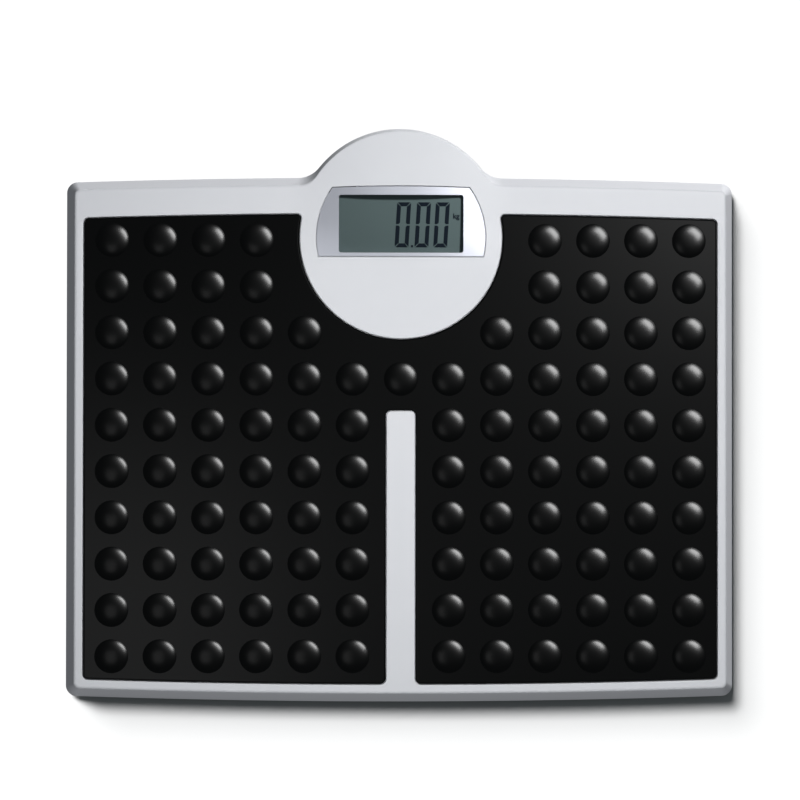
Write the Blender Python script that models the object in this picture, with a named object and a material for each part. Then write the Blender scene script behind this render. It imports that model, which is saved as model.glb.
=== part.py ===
"""Digital bathroom scale: a wide white platform with a studded rubber mat, a round display head
at the back, and the base, feet, load cells, electronics and cells that it holds.

Metres, +Z up, +Y towards the display head. The origin is on the floor under the middle of the
bounding box.
"""

import math

import bmesh
import bpy
from mathutils import Matrix, Vector

# Fits
SEAT_GAP = 0.0003            # between pieces that touch
SLIDE_GAP = 0.0004           # round pieces that travel or swing
OVERRUN = 0.0015             # how far a cutter runs past the face that it cuts
SINK = 0.0006                # how far a rib or post starts inside what carries it

# Platform, seen from above
WIDTH = 0.433
DEPTH = 0.3725               # front edge to the back of the head
HEAD_REACH = 0.0318          # how far the head stands out behind the straight back edge
EDGE_BOW = 0.0038            # how far the long edges bulge over the whole width
CORNER_RADIUS = 0.007
DECK_CORNER_RADIUS = 0.0035
HEAD_FILLET = 0.018          # hollow curve between the back edge and the head, at the skirt
DECK_HEAD_FILLET = 0.014     # the same curve at the deck

# Platform, in section
SKIRT_CLEARANCE = 0.009      # floor to the skirt's lower edge
SKIRT_LIP = 0.0012
SKIRT_FLARE = 0.0078         # how far the skirt spreads from the deck down to its lip
EDGE_ROUND = 0.003
WALL = 0.0026
MAT_FLOOR = 0.003            # moulded floor under the mat

# Head
HEAD_STEP = 0.0005           # the head's front over the deck
HEAD_RISE = 0.0055           # the head's back over its front
HEAD_BLEND = 0.020           # width over which the head's slope runs out into the rim
HEAD_MARGIN = 0.0007
HEAD_SETBACK = 0.0023        # head centre behind the display circle's centre
HEAD_REAR_FLARE = 0.0048
HEAD_SIDE_FLARE = 0.0019
HEAD_WALL = 0.0036
DISPLAY_BORDER = 0.0106      # white ring between bezel and mat

# Display
WINDOW_WIDTH = 0.0799
WINDOW_DEPTH = 0.0369
WINDOW_CORNER = 0.0014
WINDOW_OFFSET = 0.0087       # window centre behind the display circle's centre
BEZEL_BORDER = 0.006         # between the window's back corners and the bezel's round edge
BEZEL_BACK_MARGIN = 0.0047
BEZEL_FRONT_MARGIN = 0.0024
BEZEL_THICKNESS = 0.0012
BEZEL_RECESS = 0.0002        # bezel face below the head's face
COLLAR_WALL = 0.0018
PANE_MARGIN = 0.003          # pane and display beyond the window, each side
PANE_THICKNESS = 0.001
LCD_THICKNESS = 0.0028
FRAME_WALL = 0.0035
FRAME_FLOOR = 0.0018
RIBBON_WIDTH = 0.034
RIBBON_THICKNESS = 0.0004
RIBBON_SLOT = 0.004

# Mat
MAT_THICKNESS = 0.0028
MAT_GAP = 0.0005
MAT_CHAMFER = 0.0007
MAT_CORNER = 0.0035
MAT_HEAD_CORNER = 0.0032
RIM_SIDE = 0.0047            # flat rim beside and in front of the mat
RIM_REAR = 0.0173
TONGUE_WIDTH = 0.0182        # white strip between the feet
TONGUE_SPACE = 0.0467        # from the strip's end to the head
TONGUE_CORNER = 0.003
TONGUE_FOOT = 0.0042
DOME_RADIUS = 0.0109
DOME_RISE = 0.0025
DOME_PITCH_X = 0.0309
DOME_PITCH_Y = 0.02967
DOME_FIRST_ROW = 0.0177      # back edge of the mat to the first row
DOME_CLEARANCE = 0.002       # least flat between a stud and the mat's edge
DOME_SHOULDER_SHARE = 0.66   # of the radius, where the stud's slope changes
DOME_SHOULDER_RISE_SHARE = 0.72

# Cells and their case
CELL_DIAMETER = 0.0142
CELL_LENGTH = 0.0492
NUB_RADIUS = 0.0027
NUB_LENGTH = 0.0013
CELL_SPACE = 0.0009          # between neighbouring cells
CELL_GAP = 0.0005
CELL_COUNT = 4
SPRING_LENGTH = 0.0044
SPRING_WIRE = 0.0009
SPRING_TURNS = 3
SPRING_WIDE = 0.0044
SPRING_NARROW = 0.0026
CONTACT_THICKNESS = 0.0005
CONTACT_HEIGHT = 0.0105
CONTACT_WIDTH = 0.0115
CASE_WALL = 0.0024
CASE_ROOF = 0.0018
CASE_SETBACK = 0.115         # front edge of the platform to the case
LEAD_DIAMETER = 0.0018
LEAD_HOLE = 0.0013           # radius

# Door
DOOR_THICKNESS = 0.002
DOOR_LEDGE = 0.0012          # how far the door laps under the case's walls
HOOK_SPACE = 0.0048          # behind the case, where the door's hooks swing
HOOK_WIDTH = 0.008
HOOK_WALL = 0.0013
HOOK_REACH = 0.0022
HOOK_STEP = 0.0006           # between the hook and the base plate under it
HOOK_SPACING = 0.036
SCOOP_WIDTH = 0.024
SCOOP_LENGTH = 0.009
SCOOP_DEPTH = 0.006
SCOOP_WALL = 0.0015
LIP_WIDTH = 0.014
LIP_LENGTH = 0.002

# Base
BASE_THICKNESS = 0.002
BASE_INSET = 0.003           # base edge inside the skirt's edge
BASE_WALL_INSET = 0.0022     # stiffening wall inside the base edge
BASE_WALL = 0.002
BASE_WALL_HEIGHT = 0.0065
RIB_THICKNESS = 0.002
RIB_HEIGHT = 0.0145
RIB_SPREAD = 0.075           # distance of the long ribs from the middle
CABLE_SPACE = 0.0048         # over the battery case, under the stiffener
STIFFENER_THICKNESS = 0.0015
STIFFENER_INSET = 0.0265     # from the skirt's edge
STIFFENER_HEAD_GAP = 0.005   # from the mat's round edge

# Feet and load cells
FOOT_INSET = 0.042           # foot centre to the skirt's edges
PAD_RADIUS = 0.0175
PAD_THICKNESS = 0.003
PAD_CHAMFER = 0.0008
CUP_RADIUS = 0.020
CUP_FLOOR = 0.003
CUP_WALL = 0.002
CUP_HEIGHT = 0.0105
CUP_LUG = 0.0007             # how far the cup's ring reaches into the groove
CUP_LUG_HEIGHT = 0.0015
POST_RADIUS = 0.006
FOOT_TRAVEL = 0.0008
POCKET_WALL = 0.0032
GAUGE_WIDTH = 0.028
GAUGE_THICKNESS = 0.002
GAUGE_SLOT = 0.0016
GAUGE_TONGUE = 0.010
GAUGE_FRAME = 0.004
GAUGE_RAIL = 0.0015          # height of the rails that the gauge bears on
TOWER_CEILING = 0.002
CABLE_DIAMETER = 0.003
CABLE_NOTCH = 0.0045

# Screws
BOSS_RADIUS = 0.004
BOSS_INSET = 0.0185
BOSS_HOLE_DEPTH = 0.013
SEAT_RADIUS = 0.0055
SEAT_HEIGHT = 0.0045
SCREW_RADIUS = 0.0014
SCREW_LENGTH = 0.011
SCREW_HEAD_RADIUS = 0.0029
SCREW_HEAD_HEIGHT = 0.0018
SCREW_FACE_SHARE = 0.8       # flat of a screw's head, of its radius
SIDE_BOSS_Y = -0.015
FRONT_BOSS_X = 0.100
REAR_BOSS_X = 0.120
HEAD_BOSS_X = 0.032
HEAD_BOSS_INSET = 0.027

# Circuit board
BOARD_THICKNESS = 0.0016
BOARD_DROP = 0.0045          # display frame down to the board
BOARD_MARGIN = 0.0085        # board beyond the window, front and back
BOARD_POST_RADIUS = 0.0034
BOARD_POST_INSET = 0.0045
BOARD_SCREW_RADIUS = 0.0011
BOARD_SCREW_LENGTH = 0.007
BOARD_SCREW_HEAD_RADIUS = 0.0022
BOARD_SCREW_HEAD_HEIGHT = 0.0014
CHIP_WIDTH = 0.010
CHIP_THICKNESS = 0.0014
CHIP_SPACE = 0.00575         # between the chip and the radio
RADIO_WIDTH = 0.012
RADIO_LENGTH = 0.017
RADIO_THICKNESS = 0.002
CONNECTOR_WIDTH = 0.024
CONNECTOR_DEPTH = 0.005
CONNECTOR_HEIGHT = 0.0055
CONNECTOR_SLOT = 0.0015
CABLE_SPACING = 0.0055
CABLE_ORDER_SHARES = (0.5, 1.5)    # of the spacing, from the middle: front and rear cables
GATHER_SHARES = (0.26, 0.14)       # of the way from the board to the case: front and rear cables
CABLE_FAN_SHARE = 3.0        # how much wider they lie there, of their order at the connector

# Buttons and switches
BUTTON_SPACING = 0.044
BUTTON_RADIUS = 0.0045
BUTTON_FACE = 0.0032         # height of the button's cap below its flange
BUTTON_FLANGE_RADIUS = 0.0057
BUTTON_FLANGE = 0.0015
BUTTON_STEM_RADIUS = 0.0018
BUTTON_RECESS = 0.0003
BUTTON_TRAVEL = 0.0008
GUIDE_WALL = 0.0016
GUIDE_HEIGHT = 0.010
SWITCH_WIDTH = 0.006
SWITCH_HEIGHT = 0.0035
PLUNGER_RADIUS = 0.0017
PLUNGER_LENGTH = 0.0022
PLUNGER_REACH = 0.0014       # how far the plunger stands out of the switch

# Facets
BOW_STEPS = 5
CORNER_STEPS = 4
FILLET_STEPS = 4
HEAD_STEPS = 9
ROUND_STEPS = 18
SMALL_STEPS = 12
SCREW_STEPS = 8
DOME_STEPS = 8
EDGE_STEPS = 3
COIL_STEPS = 6
COIL_SIDES = 5
CABLE_STEPS = 3
ROUND_EDGE = math.radians(35)      # sharper edges than this stay sharp
STUD_EDGE = math.radians(23)

QUARTER = math.pi / 2

# Derived places and heights
DECK_FRONT = -DEPTH / 2
DECK_REAR = DEPTH / 2 - HEAD_REACH
BEZEL_RADIUS = math.hypot(WINDOW_WIDTH / 2, WINDOW_OFFSET + WINDOW_DEPTH / 2) + BEZEL_BORDER
DISPLAY_RADIUS = BEZEL_RADIUS + DISPLAY_BORDER
HEAD_RADIUS = DISPLAY_RADIUS + HEAD_MARGIN
HEAD_Y = DEPTH / 2 - HEAD_REAR_FLARE - HEAD_RADIUS
DISPLAY_Y = HEAD_Y - HEAD_SETBACK
SKIRT_HEAD_RADIUS = HEAD_RADIUS + HEAD_SIDE_FLARE
SKIRT_HEAD_Y = DEPTH / 2 - SKIRT_HEAD_RADIUS

BASE_BOTTOM = SKIRT_CLEARANCE + SEAT_GAP
BASE_TOP = BASE_BOTTOM + BASE_THICKNESS
DOOR_TOP = BASE_BOTTOM + DOOR_THICKNESS
CELL_BOTTOM = DOOR_TOP + CELL_GAP
CELL_Z = CELL_BOTTOM + CELL_DIAMETER / 2
CASE_CEILING = CELL_BOTTOM + CELL_DIAMETER + CELL_GAP
CASE_TOP = CASE_CEILING + CASE_ROOF
STIFFENER_BOTTOM = CASE_TOP + CABLE_SPACE
STIFFENER_TOP = STIFFENER_BOTTOM + STIFFENER_THICKNESS
CAVITY_TOP = STIFFENER_TOP + SEAT_GAP
POCKET_FLOOR = CAVITY_TOP + MAT_FLOOR
MAT_BOTTOM = POCKET_FLOOR + SEAT_GAP
DECK_TOP = MAT_BOTTOM + MAT_THICKNESS
DOME_TOP = DECK_TOP + DOME_RISE

HEAD_FRONT = DISPLAY_Y - DISPLAY_RADIUS
TONGUE_TOP = HEAD_FRONT - TONGUE_SPACE
HEAD_SLOPE = HEAD_RISE / (HEAD_Y + HEAD_RADIUS - HEAD_FRONT)
HEAD_TILT = math.atan(HEAD_SLOPE)
DISPLAY_Z = DECK_TOP + HEAD_STEP + HEAD_SLOPE * (DISPLAY_Y - HEAD_FRONT)

PAD_TOP = PAD_THICKNESS
CUP_BOTTOM = PAD_TOP + SEAT_GAP
CUP_TOP = CUP_BOTTOM + CUP_HEIGHT
GAUGE_BOTTOM = CUP_TOP + FOOT_TRAVEL + SLIDE_GAP
GAUGE_TOP = GAUGE_BOTTOM + GAUGE_THICKNESS
RAIL_BOTTOM = GAUGE_TOP + SEAT_GAP
POCKET_CEILING = RAIL_BOTTOM + GAUGE_RAIL
POCKET_RADIUS = CUP_RADIUS + SLIDE_GAP
LUG_RADIUS = CUP_RADIUS + CUP_LUG
LUG_TOP = CUP_TOP - SEAT_GAP
LUG_BOTTOM = LUG_TOP - CUP_LUG_HEIGHT
GROOVE_BOTTOM = LUG_BOTTOM - SEAT_GAP
GROOVE_TOP = LUG_TOP + FOOT_TRAVEL + SEAT_GAP
GROOVE_RADIUS = LUG_RADIUS + SLIDE_GAP
TOWER_RADIUS = POCKET_RADIUS + POCKET_WALL
TOWER_TOP = STIFFENER_BOTTOM - SEAT_GAP
FOOT_X = WIDTH / 2 - FOOT_INSET
FOOT_FRONT_Y = DECK_FRONT + FOOT_INSET
FOOT_REAR_Y = DECK_REAR - FOOT_INSET
FEET = {
    "front_left": (-FOOT_X, FOOT_FRONT_Y),
    "front_right": (FOOT_X, FOOT_FRONT_Y),
    "rear_left": (-FOOT_X, FOOT_REAR_Y),
    "rear_right": (FOOT_X, FOOT_REAR_Y),
}

CELL_PITCH = CELL_DIAMETER + CELL_SPACE
CASE_HALF_WIDTH = CELL_COUNT * CELL_PITCH / 2
CONTACT_STACK = SEAT_GAP + CONTACT_THICKNESS + SEAT_GAP
CASE_INNER_LENGTH = 2 * CONTACT_STACK + SPRING_LENGTH + CELL_LENGTH + NUB_LENGTH
CASE_FRONT = DECK_FRONT + CASE_SETBACK
CASE_REAR = CASE_FRONT + CASE_INNER_LENGTH
DOOR_HALF_WIDTH = CASE_HALF_WIDTH + DOOR_LEDGE
DOOR_FRONT = CASE_FRONT - DOOR_LEDGE
DOOR_REAR = CASE_REAR + CASE_WALL + HOOK_SPACE

WINDOW_Y = WINDOW_OFFSET     # in the display's own tilted plane
LCD_WIDTH = WINDOW_WIDTH + 2 * PANE_MARGIN
LCD_DEPTH = WINDOW_DEPTH + 2 * PANE_MARGIN
PANE_TOP = -WALL - SEAT_GAP
PANE_BOTTOM = PANE_TOP - PANE_THICKNESS
LCD_TOP = PANE_BOTTOM - SEAT_GAP
LCD_BOTTOM = LCD_TOP - LCD_THICKNESS
FRAME_BOTTOM = LCD_BOTTOM - SEAT_GAP - FRAME_FLOOR
FRAME_FRONT_Y = DISPLAY_Y + WINDOW_Y - LCD_DEPTH / 2 - FRAME_WALL
FRAME_LOW_Z = DISPLAY_Z + HEAD_SLOPE * (FRAME_FRONT_Y - DISPLAY_Y) + FRAME_BOTTOM

BOARD_TOP = FRAME_LOW_Z - BOARD_DROP
BOARD_BOTTOM = BOARD_TOP - BOARD_THICKNESS
BOARD_WIDTH = LCD_WIDTH
BOARD_DEPTH = WINDOW_DEPTH + 2 * BOARD_MARGIN
BOARD_Y = DISPLAY_Y + WINDOW_OFFSET - PANE_MARGIN
BOARD_FRONT = BOARD_Y - BOARD_DEPTH / 2
BOARD_POSTS = [
    (side * (BOARD_WIDTH / 2 - BOARD_POST_INSET), BOARD_Y + end * (BOARD_DEPTH / 2 - BOARD_POST_INSET))
    for side in (-1, 1)
    for end in (-1, 1)
]
CONNECTOR_Y = BOARD_FRONT + CONNECTOR_DEPTH / 2 + SEAT_GAP
CONNECTOR_BOTTOM = BOARD_TOP + SEAT_GAP

SWITCH_TOP = BOARD_BOTTOM - SEAT_GAP
SWITCH_BOTTOM = SWITCH_TOP - SWITCH_HEIGHT
PLUNGER_BOTTOM = SWITCH_BOTTOM - PLUNGER_REACH
STEM_TOP = PLUNGER_BOTTOM - SEAT_GAP
BUTTON_BOTTOM = BASE_BOTTOM + BUTTON_RECESS
FLANGE_BOTTOM = BUTTON_BOTTOM + BUTTON_FACE
FLANGE_TOP = FLANGE_BOTTOM + BUTTON_FLANGE
GUIDE_STEP = FLANGE_BOTTOM - SEAT_GAP
GUIDE_BORE = BUTTON_RADIUS + SLIDE_GAP
GUIDE_UPPER_BORE = BUTTON_FLANGE_RADIUS + SLIDE_GAP
GUIDE_RADIUS = GUIDE_UPPER_BORE + GUIDE_WALL
BUTTONS = {"unit": -BUTTON_SPACING / 2, "pairing": BUTTON_SPACING / 2}
BUTTON_Y = BOARD_Y

SEAT_TOP = BASE_BOTTOM + SEAT_HEIGHT
BOSS_BOTTOM = SEAT_TOP + SEAT_GAP
SCREW_HEAD_TOP = SEAT_TOP - BASE_THICKNESS
BOSSES = [
    (-FRONT_BOSS_X, DECK_FRONT + BOSS_INSET),
    (FRONT_BOSS_X, DECK_FRONT + BOSS_INSET),
    (-(WIDTH / 2 - BOSS_INSET), SIDE_BOSS_Y),
    (WIDTH / 2 - BOSS_INSET, SIDE_BOSS_Y),
    (-REAR_BOSS_X, DECK_REAR - BOSS_INSET),
    (REAR_BOSS_X, DECK_REAR - BOSS_INSET),
    (-HEAD_BOSS_X, DEPTH / 2 - HEAD_BOSS_INSET),
    (HEAD_BOSS_X, DEPTH / 2 - HEAD_BOSS_INSET),
]


# Outlines

def arc(centre, radius, start, end, steps):
    """Points along an arc, both ends included; angles in radians, anticlockwise if end > start."""
    angles = [start + (end - start) * i / steps for i in range(steps + 1)]
    return [(centre[0] + radius * math.cos(a), centre[1] + radius * math.sin(a)) for a in angles]


def mirrored(right_half):
    """A closed outline from its right half, which runs from the middle line to the middle line."""
    left_half = [(-x, y) for x, y in reversed(right_half[1:-1])]
    return right_half + left_half


def bow_at(x):
    """How far a bowed edge has drawn back at x."""
    return EDGE_BOW * (x / (WIDTH / 2)) ** 2


def bow_angle(x):
    return math.atan(2 * EDGE_BOW * x / (WIDTH / 2) ** 2)


def bowed_run(start_x, end_x, edge_y, inward):
    """Points along a bowed edge without its two ends; inward is +1 at the front, -1 at the back."""
    xs = [start_x + (end_x - start_x) * i / BOW_STEPS for i in range(1, BOW_STEPS)]
    return [(x, edge_y + inward * bow_at(x)) for x in xs]


def bowed_corners(half_width, front, rear, radius):
    """The front and the back corner on the right, each an arc that runs on from the bowed edge."""
    centre_x = half_width - radius
    turn = bow_angle(centre_x)
    touch_x = centre_x + radius * math.sin(turn)
    front_y = front + bow_at(touch_x) + radius * math.cos(turn)
    rear_y = rear - bow_at(touch_x) - radius * math.cos(turn)
    front_corner = arc((centre_x, front_y), radius, turn - QUARTER, 0, CORNER_STEPS)
    rear_corner = arc((centre_x, rear_y), radius, 0, QUARTER - turn, CORNER_STEPS)
    return front_corner, rear_corner


def platform_outline(inset=0.0, deck_share=0.0):
    """The platform from above, from its skirt (deck_share 0) to its deck (deck_share 1),
    drawn in by inset."""
    def between(skirt, deck):
        return skirt + (deck - skirt) * deck_share

    half_width = between(WIDTH / 2, WIDTH / 2 - SKIRT_FLARE) - inset
    front = between(DECK_FRONT, DECK_FRONT + SKIRT_FLARE) + inset
    rear = between(DECK_REAR, DECK_REAR - SKIRT_FLARE) - inset
    radius = max(between(CORNER_RADIUS, DECK_CORNER_RADIUS) - inset, DECK_CORNER_RADIUS / 2)
    head_radius = between(SKIRT_HEAD_RADIUS, HEAD_RADIUS) - inset
    head_y = between(SKIRT_HEAD_Y, HEAD_Y)
    fillet = between(HEAD_FILLET, DECK_HEAD_FILLET) + inset

    reach = head_radius + fillet
    fillet_x = math.sqrt(reach ** 2 - (rear + fillet - head_y) ** 2)
    fillet_y = rear - bow_at(fillet_x) + fillet
    fillet_x = math.sqrt(reach ** 2 - (fillet_y - head_y) ** 2)
    head_start = math.atan2(fillet_y - head_y, fillet_x)

    front_corner, rear_corner = bowed_corners(half_width, front, rear, radius)
    points = [(0.0, front)]
    points += bowed_run(0.0, front_corner[0][0], front, 1)
    points += front_corner + rear_corner
    points += bowed_run(rear_corner[-1][0], fillet_x, rear, -1)
    points += arc((fillet_x, fillet_y), fillet, -QUARTER, head_start - math.pi, FILLET_STEPS)
    points += arc((0.0, head_y), head_radius, head_start, QUARTER, HEAD_STEPS)[1:]
    return mirrored(points)


def mat_outline(inset=0.0):
    """The mat's recess from above, drawn in by inset: it goes round the white strip and the head."""
    half_width = WIDTH / 2 - SKIRT_FLARE - RIM_SIDE - inset
    front = DECK_FRONT + SKIRT_FLARE + RIM_SIDE + inset
    rear = DECK_REAR - SKIRT_FLARE - RIM_REAR - inset
    tongue = TONGUE_WIDTH / 2 + inset
    tongue_top = TONGUE_TOP + inset
    tongue_corner = TONGUE_CORNER + inset
    foot_corner = TONGUE_FOOT - inset
    display = DISPLAY_RADIUS + inset
    head_corner = MAT_HEAD_CORNER - inset

    corner_x = math.sqrt((display + head_corner) ** 2 - (rear - head_corner - DISPLAY_Y) ** 2)
    corner_y = rear - bow_at(corner_x) - head_corner
    corner_x = math.sqrt((display + head_corner) ** 2 - (corner_y - DISPLAY_Y) ** 2)
    toward_head = math.atan2(corner_y - DISPLAY_Y, corner_x)

    foot_x = tongue + foot_corner
    foot_y = front + bow_at(foot_x) + foot_corner
    front_corner, rear_corner = bowed_corners(half_width, front, rear, MAT_CORNER - inset)
    points = [(0.0, tongue_top)]
    points += arc((tongue - tongue_corner, tongue_top - tongue_corner), tongue_corner,
                  QUARTER, 0, CORNER_STEPS)
    points += arc((foot_x, foot_y), foot_corner, math.pi, 3 * QUARTER, CORNER_STEPS)
    points += bowed_run(foot_x, front_corner[0][0], front, 1)
    points += front_corner + rear_corner
    points += bowed_run(rear_corner[-1][0], corner_x, rear, -1)
    points += arc((corner_x, corner_y), head_corner, QUARTER, math.pi + toward_head, CORNER_STEPS)
    points += arc((0.0, DISPLAY_Y), display, toward_head, -QUARTER, 2 * HEAD_STEPS)[1:]
    return mirrored(points)


def rounded_rectangle(width, depth, centre=(0.0, 0.0), radius=0.0, steps=3):
    """A rectangle with round corners, anticlockwise."""
    if radius == 0.0:
        right, back = width / 2, depth / 2
        corners = [(right, -back), (right, back), (-right, back), (-right, -back)]
        return [(centre[0] + x, centre[1] + y) for x, y in corners]
    points = []
    for turn, (sx, sy) in enumerate([(1, -1), (1, 1), (-1, 1), (-1, -1)]):
        middle = (centre[0] + sx * (width / 2 - radius), centre[1] + sy * (depth / 2 - radius))
        points += arc(middle, radius, (turn - 1) * QUARTER, turn * QUARTER, steps)
    return points


def bezel_outline(inset=0.0):
    """The bezel in the display's plane: a circle cut straight in front of and behind the window."""
    radius = BEZEL_RADIUS - inset
    back = WINDOW_Y + WINDOW_DEPTH / 2 + BEZEL_BACK_MARGIN - inset
    front = WINDOW_Y - WINDOW_DEPTH / 2 - BEZEL_FRONT_MARGIN + inset
    right = arc((0.0, 0.0), radius, math.asin(front / radius), math.asin(back / radius), HEAD_STEPS)
    left = [(-x, y) for x, y in reversed(right)]
    return right + left


# Meshes

def add_loop(bm, outline, height):
    return [bm.verts.new((x, y, height)) for x, y in outline]


def skin(bm, lower, upper):
    """The wall between two loops that have the same number of points."""
    for i, vert in enumerate(lower):
        after = (i + 1) % len(lower)
        bm.faces.new((vert, lower[after], upper[after], upper[i]))


def loft_mesh(levels):
    """A closed solid through outlines at rising heights: [(outline, height), ...]."""
    bm = bmesh.new()
    loops = [add_loop(bm, outline, height) for outline, height in levels]
    bm.faces.new(list(reversed(loops[0])))
    for lower, upper in zip(loops, loops[1:]):
        skin(bm, lower, upper)
    bm.faces.new(loops[-1])
    return bm


def prism_mesh(outline, bottom, top):
    return loft_mesh([(outline, bottom), (outline, top)])


def box_mesh(low, high):
    outline = [(low[0], low[1]), (high[0], low[1]), (high[0], high[1]), (low[0], high[1])]
    return prism_mesh(outline, low[2], high[2])


def ring_mesh(outer, inner, bottom, top):
    """A closed wall between two outlines that have the same number of points."""
    bm = bmesh.new()
    loops = [add_loop(bm, outline, height)
             for outline, height in ((outer, bottom), (outer, top), (inner, top), (inner, bottom))]
    for i, loop in enumerate(loops):
        skin(bm, loop, loops[(i + 1) % len(loops)])
    return bm


def turned_mesh(profile, steps, centre=(0.0, 0.0)):
    """A solid turned about a vertical axis; profile runs from the bottom to the top at the axis."""
    bm = bmesh.new()
    verts = [bm.verts.new((radius, 0.0, height)) for radius, height in profile]
    edges = [bm.edges.new(pair) for pair in zip(verts, verts[1:])]
    bmesh.ops.spin(bm, geom=verts + edges, cent=(0.0, 0.0, 0.0), axis=(0.0, 0.0, 1.0),
                   angle=2 * math.pi, steps=steps, use_merge=True)
    bmesh.ops.remove_doubles(bm, verts=bm.verts, dist=SINK / 100)
    bmesh.ops.recalc_face_normals(bm, faces=bm.faces)
    bmesh.ops.translate(bm, verts=bm.verts, vec=(centre[0], centre[1], 0.0))
    return bm


def rod_mesh(radius, bottom, top, steps, centre=(0.0, 0.0)):
    return turned_mesh([(0.0, bottom), (radius, bottom), (radius, top), (0.0, top)], steps, centre)


# Objects

def remove_everything():
    for item in list(bpy.data.objects):
        bpy.data.objects.remove(item, do_unlink=True)


def linear(channel):
    return channel / 12.92 if channel <= 0.04045 else ((channel + 0.055) / 1.055) ** 2.4


def material(name, colour, roughness, metallic=0.0, alpha=1.0):
    """A plain finish; colour is an sRGB hex string."""
    found = bpy.data.materials.get(name)
    if found:
        return found
    made = bpy.data.materials.new(name)
    made.use_nodes = True
    shader = made.node_tree.nodes["Principled BSDF"]
    rgb = [linear(int(colour[i:i + 2], 16) / 255) for i in (0, 2, 4)]
    shader.inputs["Base Color"].default_value = (*rgb, 1.0)
    shader.inputs["Roughness"].default_value = roughness
    shader.inputs["Metallic"].default_value = metallic
    shader.inputs["Alpha"].default_value = alpha
    return made


def white_plastic():
    return material("white_moulded_plastic", "DDDEE2", 0.4)


def grey_plastic():
    return material("grey_moulded_plastic", "B9BBBE", 0.5)


def dark_plastic():
    return material("dark_moulded_plastic", "2B2C2F", 0.5)


def black_rubber():
    return material("black_rubber", "1C1B1D", 0.6)


def silver_film():
    return material("silver_film", "B4B6C4", 0.3, 0.6)


def clear_pane():
    return material("clear_pane", "F2F5F4", 0.05, alpha=0.3)


def display_glass():
    return material("display_glass", "5E6E6D", 0.25)


def green_laminate():
    return material("green_laminate", "1F5B3A", 0.45)


def black_resin():
    return material("black_resin", "17181A", 0.5)


def zinc_steel():
    return material("zinc_steel", "B9BDC2", 0.35, 1.0)


def copper_film():
    return material("amber_film", "B07A2E", 0.4)


def cell_jacket():
    return material("cell_jacket", "3A4552", 0.35)


def grey_cable():
    return material("grey_cable", "8C8F93", 0.5)


def place(name, bm, finish=None, parent=None):
    """Make an object of a finished mesh and put it in the scene."""
    bmesh.ops.recalc_face_normals(bm, faces=bm.faces)
    mesh = bpy.data.meshes.new(name)
    bm.to_mesh(mesh)
    bm.free()
    made = bpy.data.objects.new(name, mesh)
    bpy.context.scene.collection.objects.link(made)
    if parent is not None:
        made.parent = parent
    if finish is not None:
        mesh.materials.append(finish)
    return made


def shade_round(target, angle=ROUND_EDGE):
    target.data.shade_smooth()
    target.data.set_sharp_from_angle(angle=angle)


def guides(name, meshes, parent=None):
    """Shapes that are joined to a piece or cut out of it, kept in a collection of their own."""
    group = bpy.data.collections.new(name)
    for count, bm in enumerate(meshes):
        guide = place(f"{name}_{count}", bm, parent=parent)
        bpy.context.scene.collection.objects.unlink(guide)
        group.objects.link(guide)
        guide.hide_render = True
        guide.display_type = "WIRE"
    bpy.context.scene.collection.children.link(group)
    return group


def combine(target, operation, group):
    step = target.modifiers.new(group.name, "BOOLEAN")
    step.operation = operation
    step.operand_type = "COLLECTION"
    step.collection = group
    step.solver = "EXACT"


def moving_frame(name, where, tilt=0.0):
    """An empty on a joint's axis or in the plane that a group of pieces shares."""
    frame = bpy.data.objects.new(name, None)
    frame.empty_display_size = DOME_RADIUS
    frame.location = where
    frame.rotation_euler = (tilt, 0.0, 0.0)
    bpy.context.scene.collection.objects.link(frame)
    return frame


# Head surface

def head_rise(x, y):
    """How far the head's sloping face stands over the deck, running out into the rim."""
    away = (math.hypot(x, y - HEAD_Y) - HEAD_RADIUS) / HEAD_BLEND
    fade = min(max(away, 0.0), 1.0)
    hold = 1 - fade * fade * (3 - 2 * fade)
    return hold * (HEAD_STEP + HEAD_SLOPE * (y - HEAD_FRONT))


def lift_head(bm, low, high):
    """Raise the mesh to the head's slope, fully from the height high, not at all below low."""
    for vert in bm.verts:
        share = min(max((vert.co.z - low) / (high - low), 0.0), 1.0)
        vert.co.z += share * head_rise(vert.co.x, vert.co.y)


def cut_head_lines(bm, level):
    """Cut the top face along lines that the head's slope can bend on."""
    reach = HEAD_RADIUS + HEAD_BLEND
    steps = BOW_STEPS
    cuts = [((0.0, HEAD_Y - HEAD_RADIUS + HEAD_RADIUS * 2 * i / steps, 0.0), (0.0, 1.0, 0.0))
            for i in range(1, steps)]
    for side in (-1, 1):
        cuts += [((side * (reach - HEAD_BLEND * i / 3), 0.0, 0.0), (1.0, 0.0, 0.0))
                 for i in range(4)]
    for point, normal in cuts:
        faces = [f for f in bm.faces if f.calc_center_median().z > level]
        edges = list({e for f in faces for e in f.edges})
        verts = list({v for f in faces for v in f.verts})
        bmesh.ops.bisect_plane(bm, geom=verts + edges + faces, dist=SINK / 100,
                               plane_co=point, plane_no=normal)


def skirt_profile():
    """Levels of the platform's outside, bottom to top: [(share from skirt to deck, height), ...]."""
    lip_top = SKIRT_CLEARANCE + SKIRT_LIP
    centre_z = DECK_TOP - EDGE_ROUND
    lean = 0.0
    for _ in range(4):
        run = SKIRT_FLARE - EDGE_ROUND * math.cos(lean)
        lean = math.atan(run / (centre_z + EDGE_ROUND * math.sin(lean) - lip_top))
    levels = [(0.0, SKIRT_CLEARANCE), (0.0, lip_top)]
    for i in range(EDGE_STEPS + 1):
        angle = lean + (QUARTER - lean) * i / EDGE_STEPS
        inward = SKIRT_FLARE - EDGE_ROUND * math.cos(angle)
        levels.append((inward / SKIRT_FLARE, centre_z + EDGE_ROUND * math.sin(angle)))
    return levels


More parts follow.
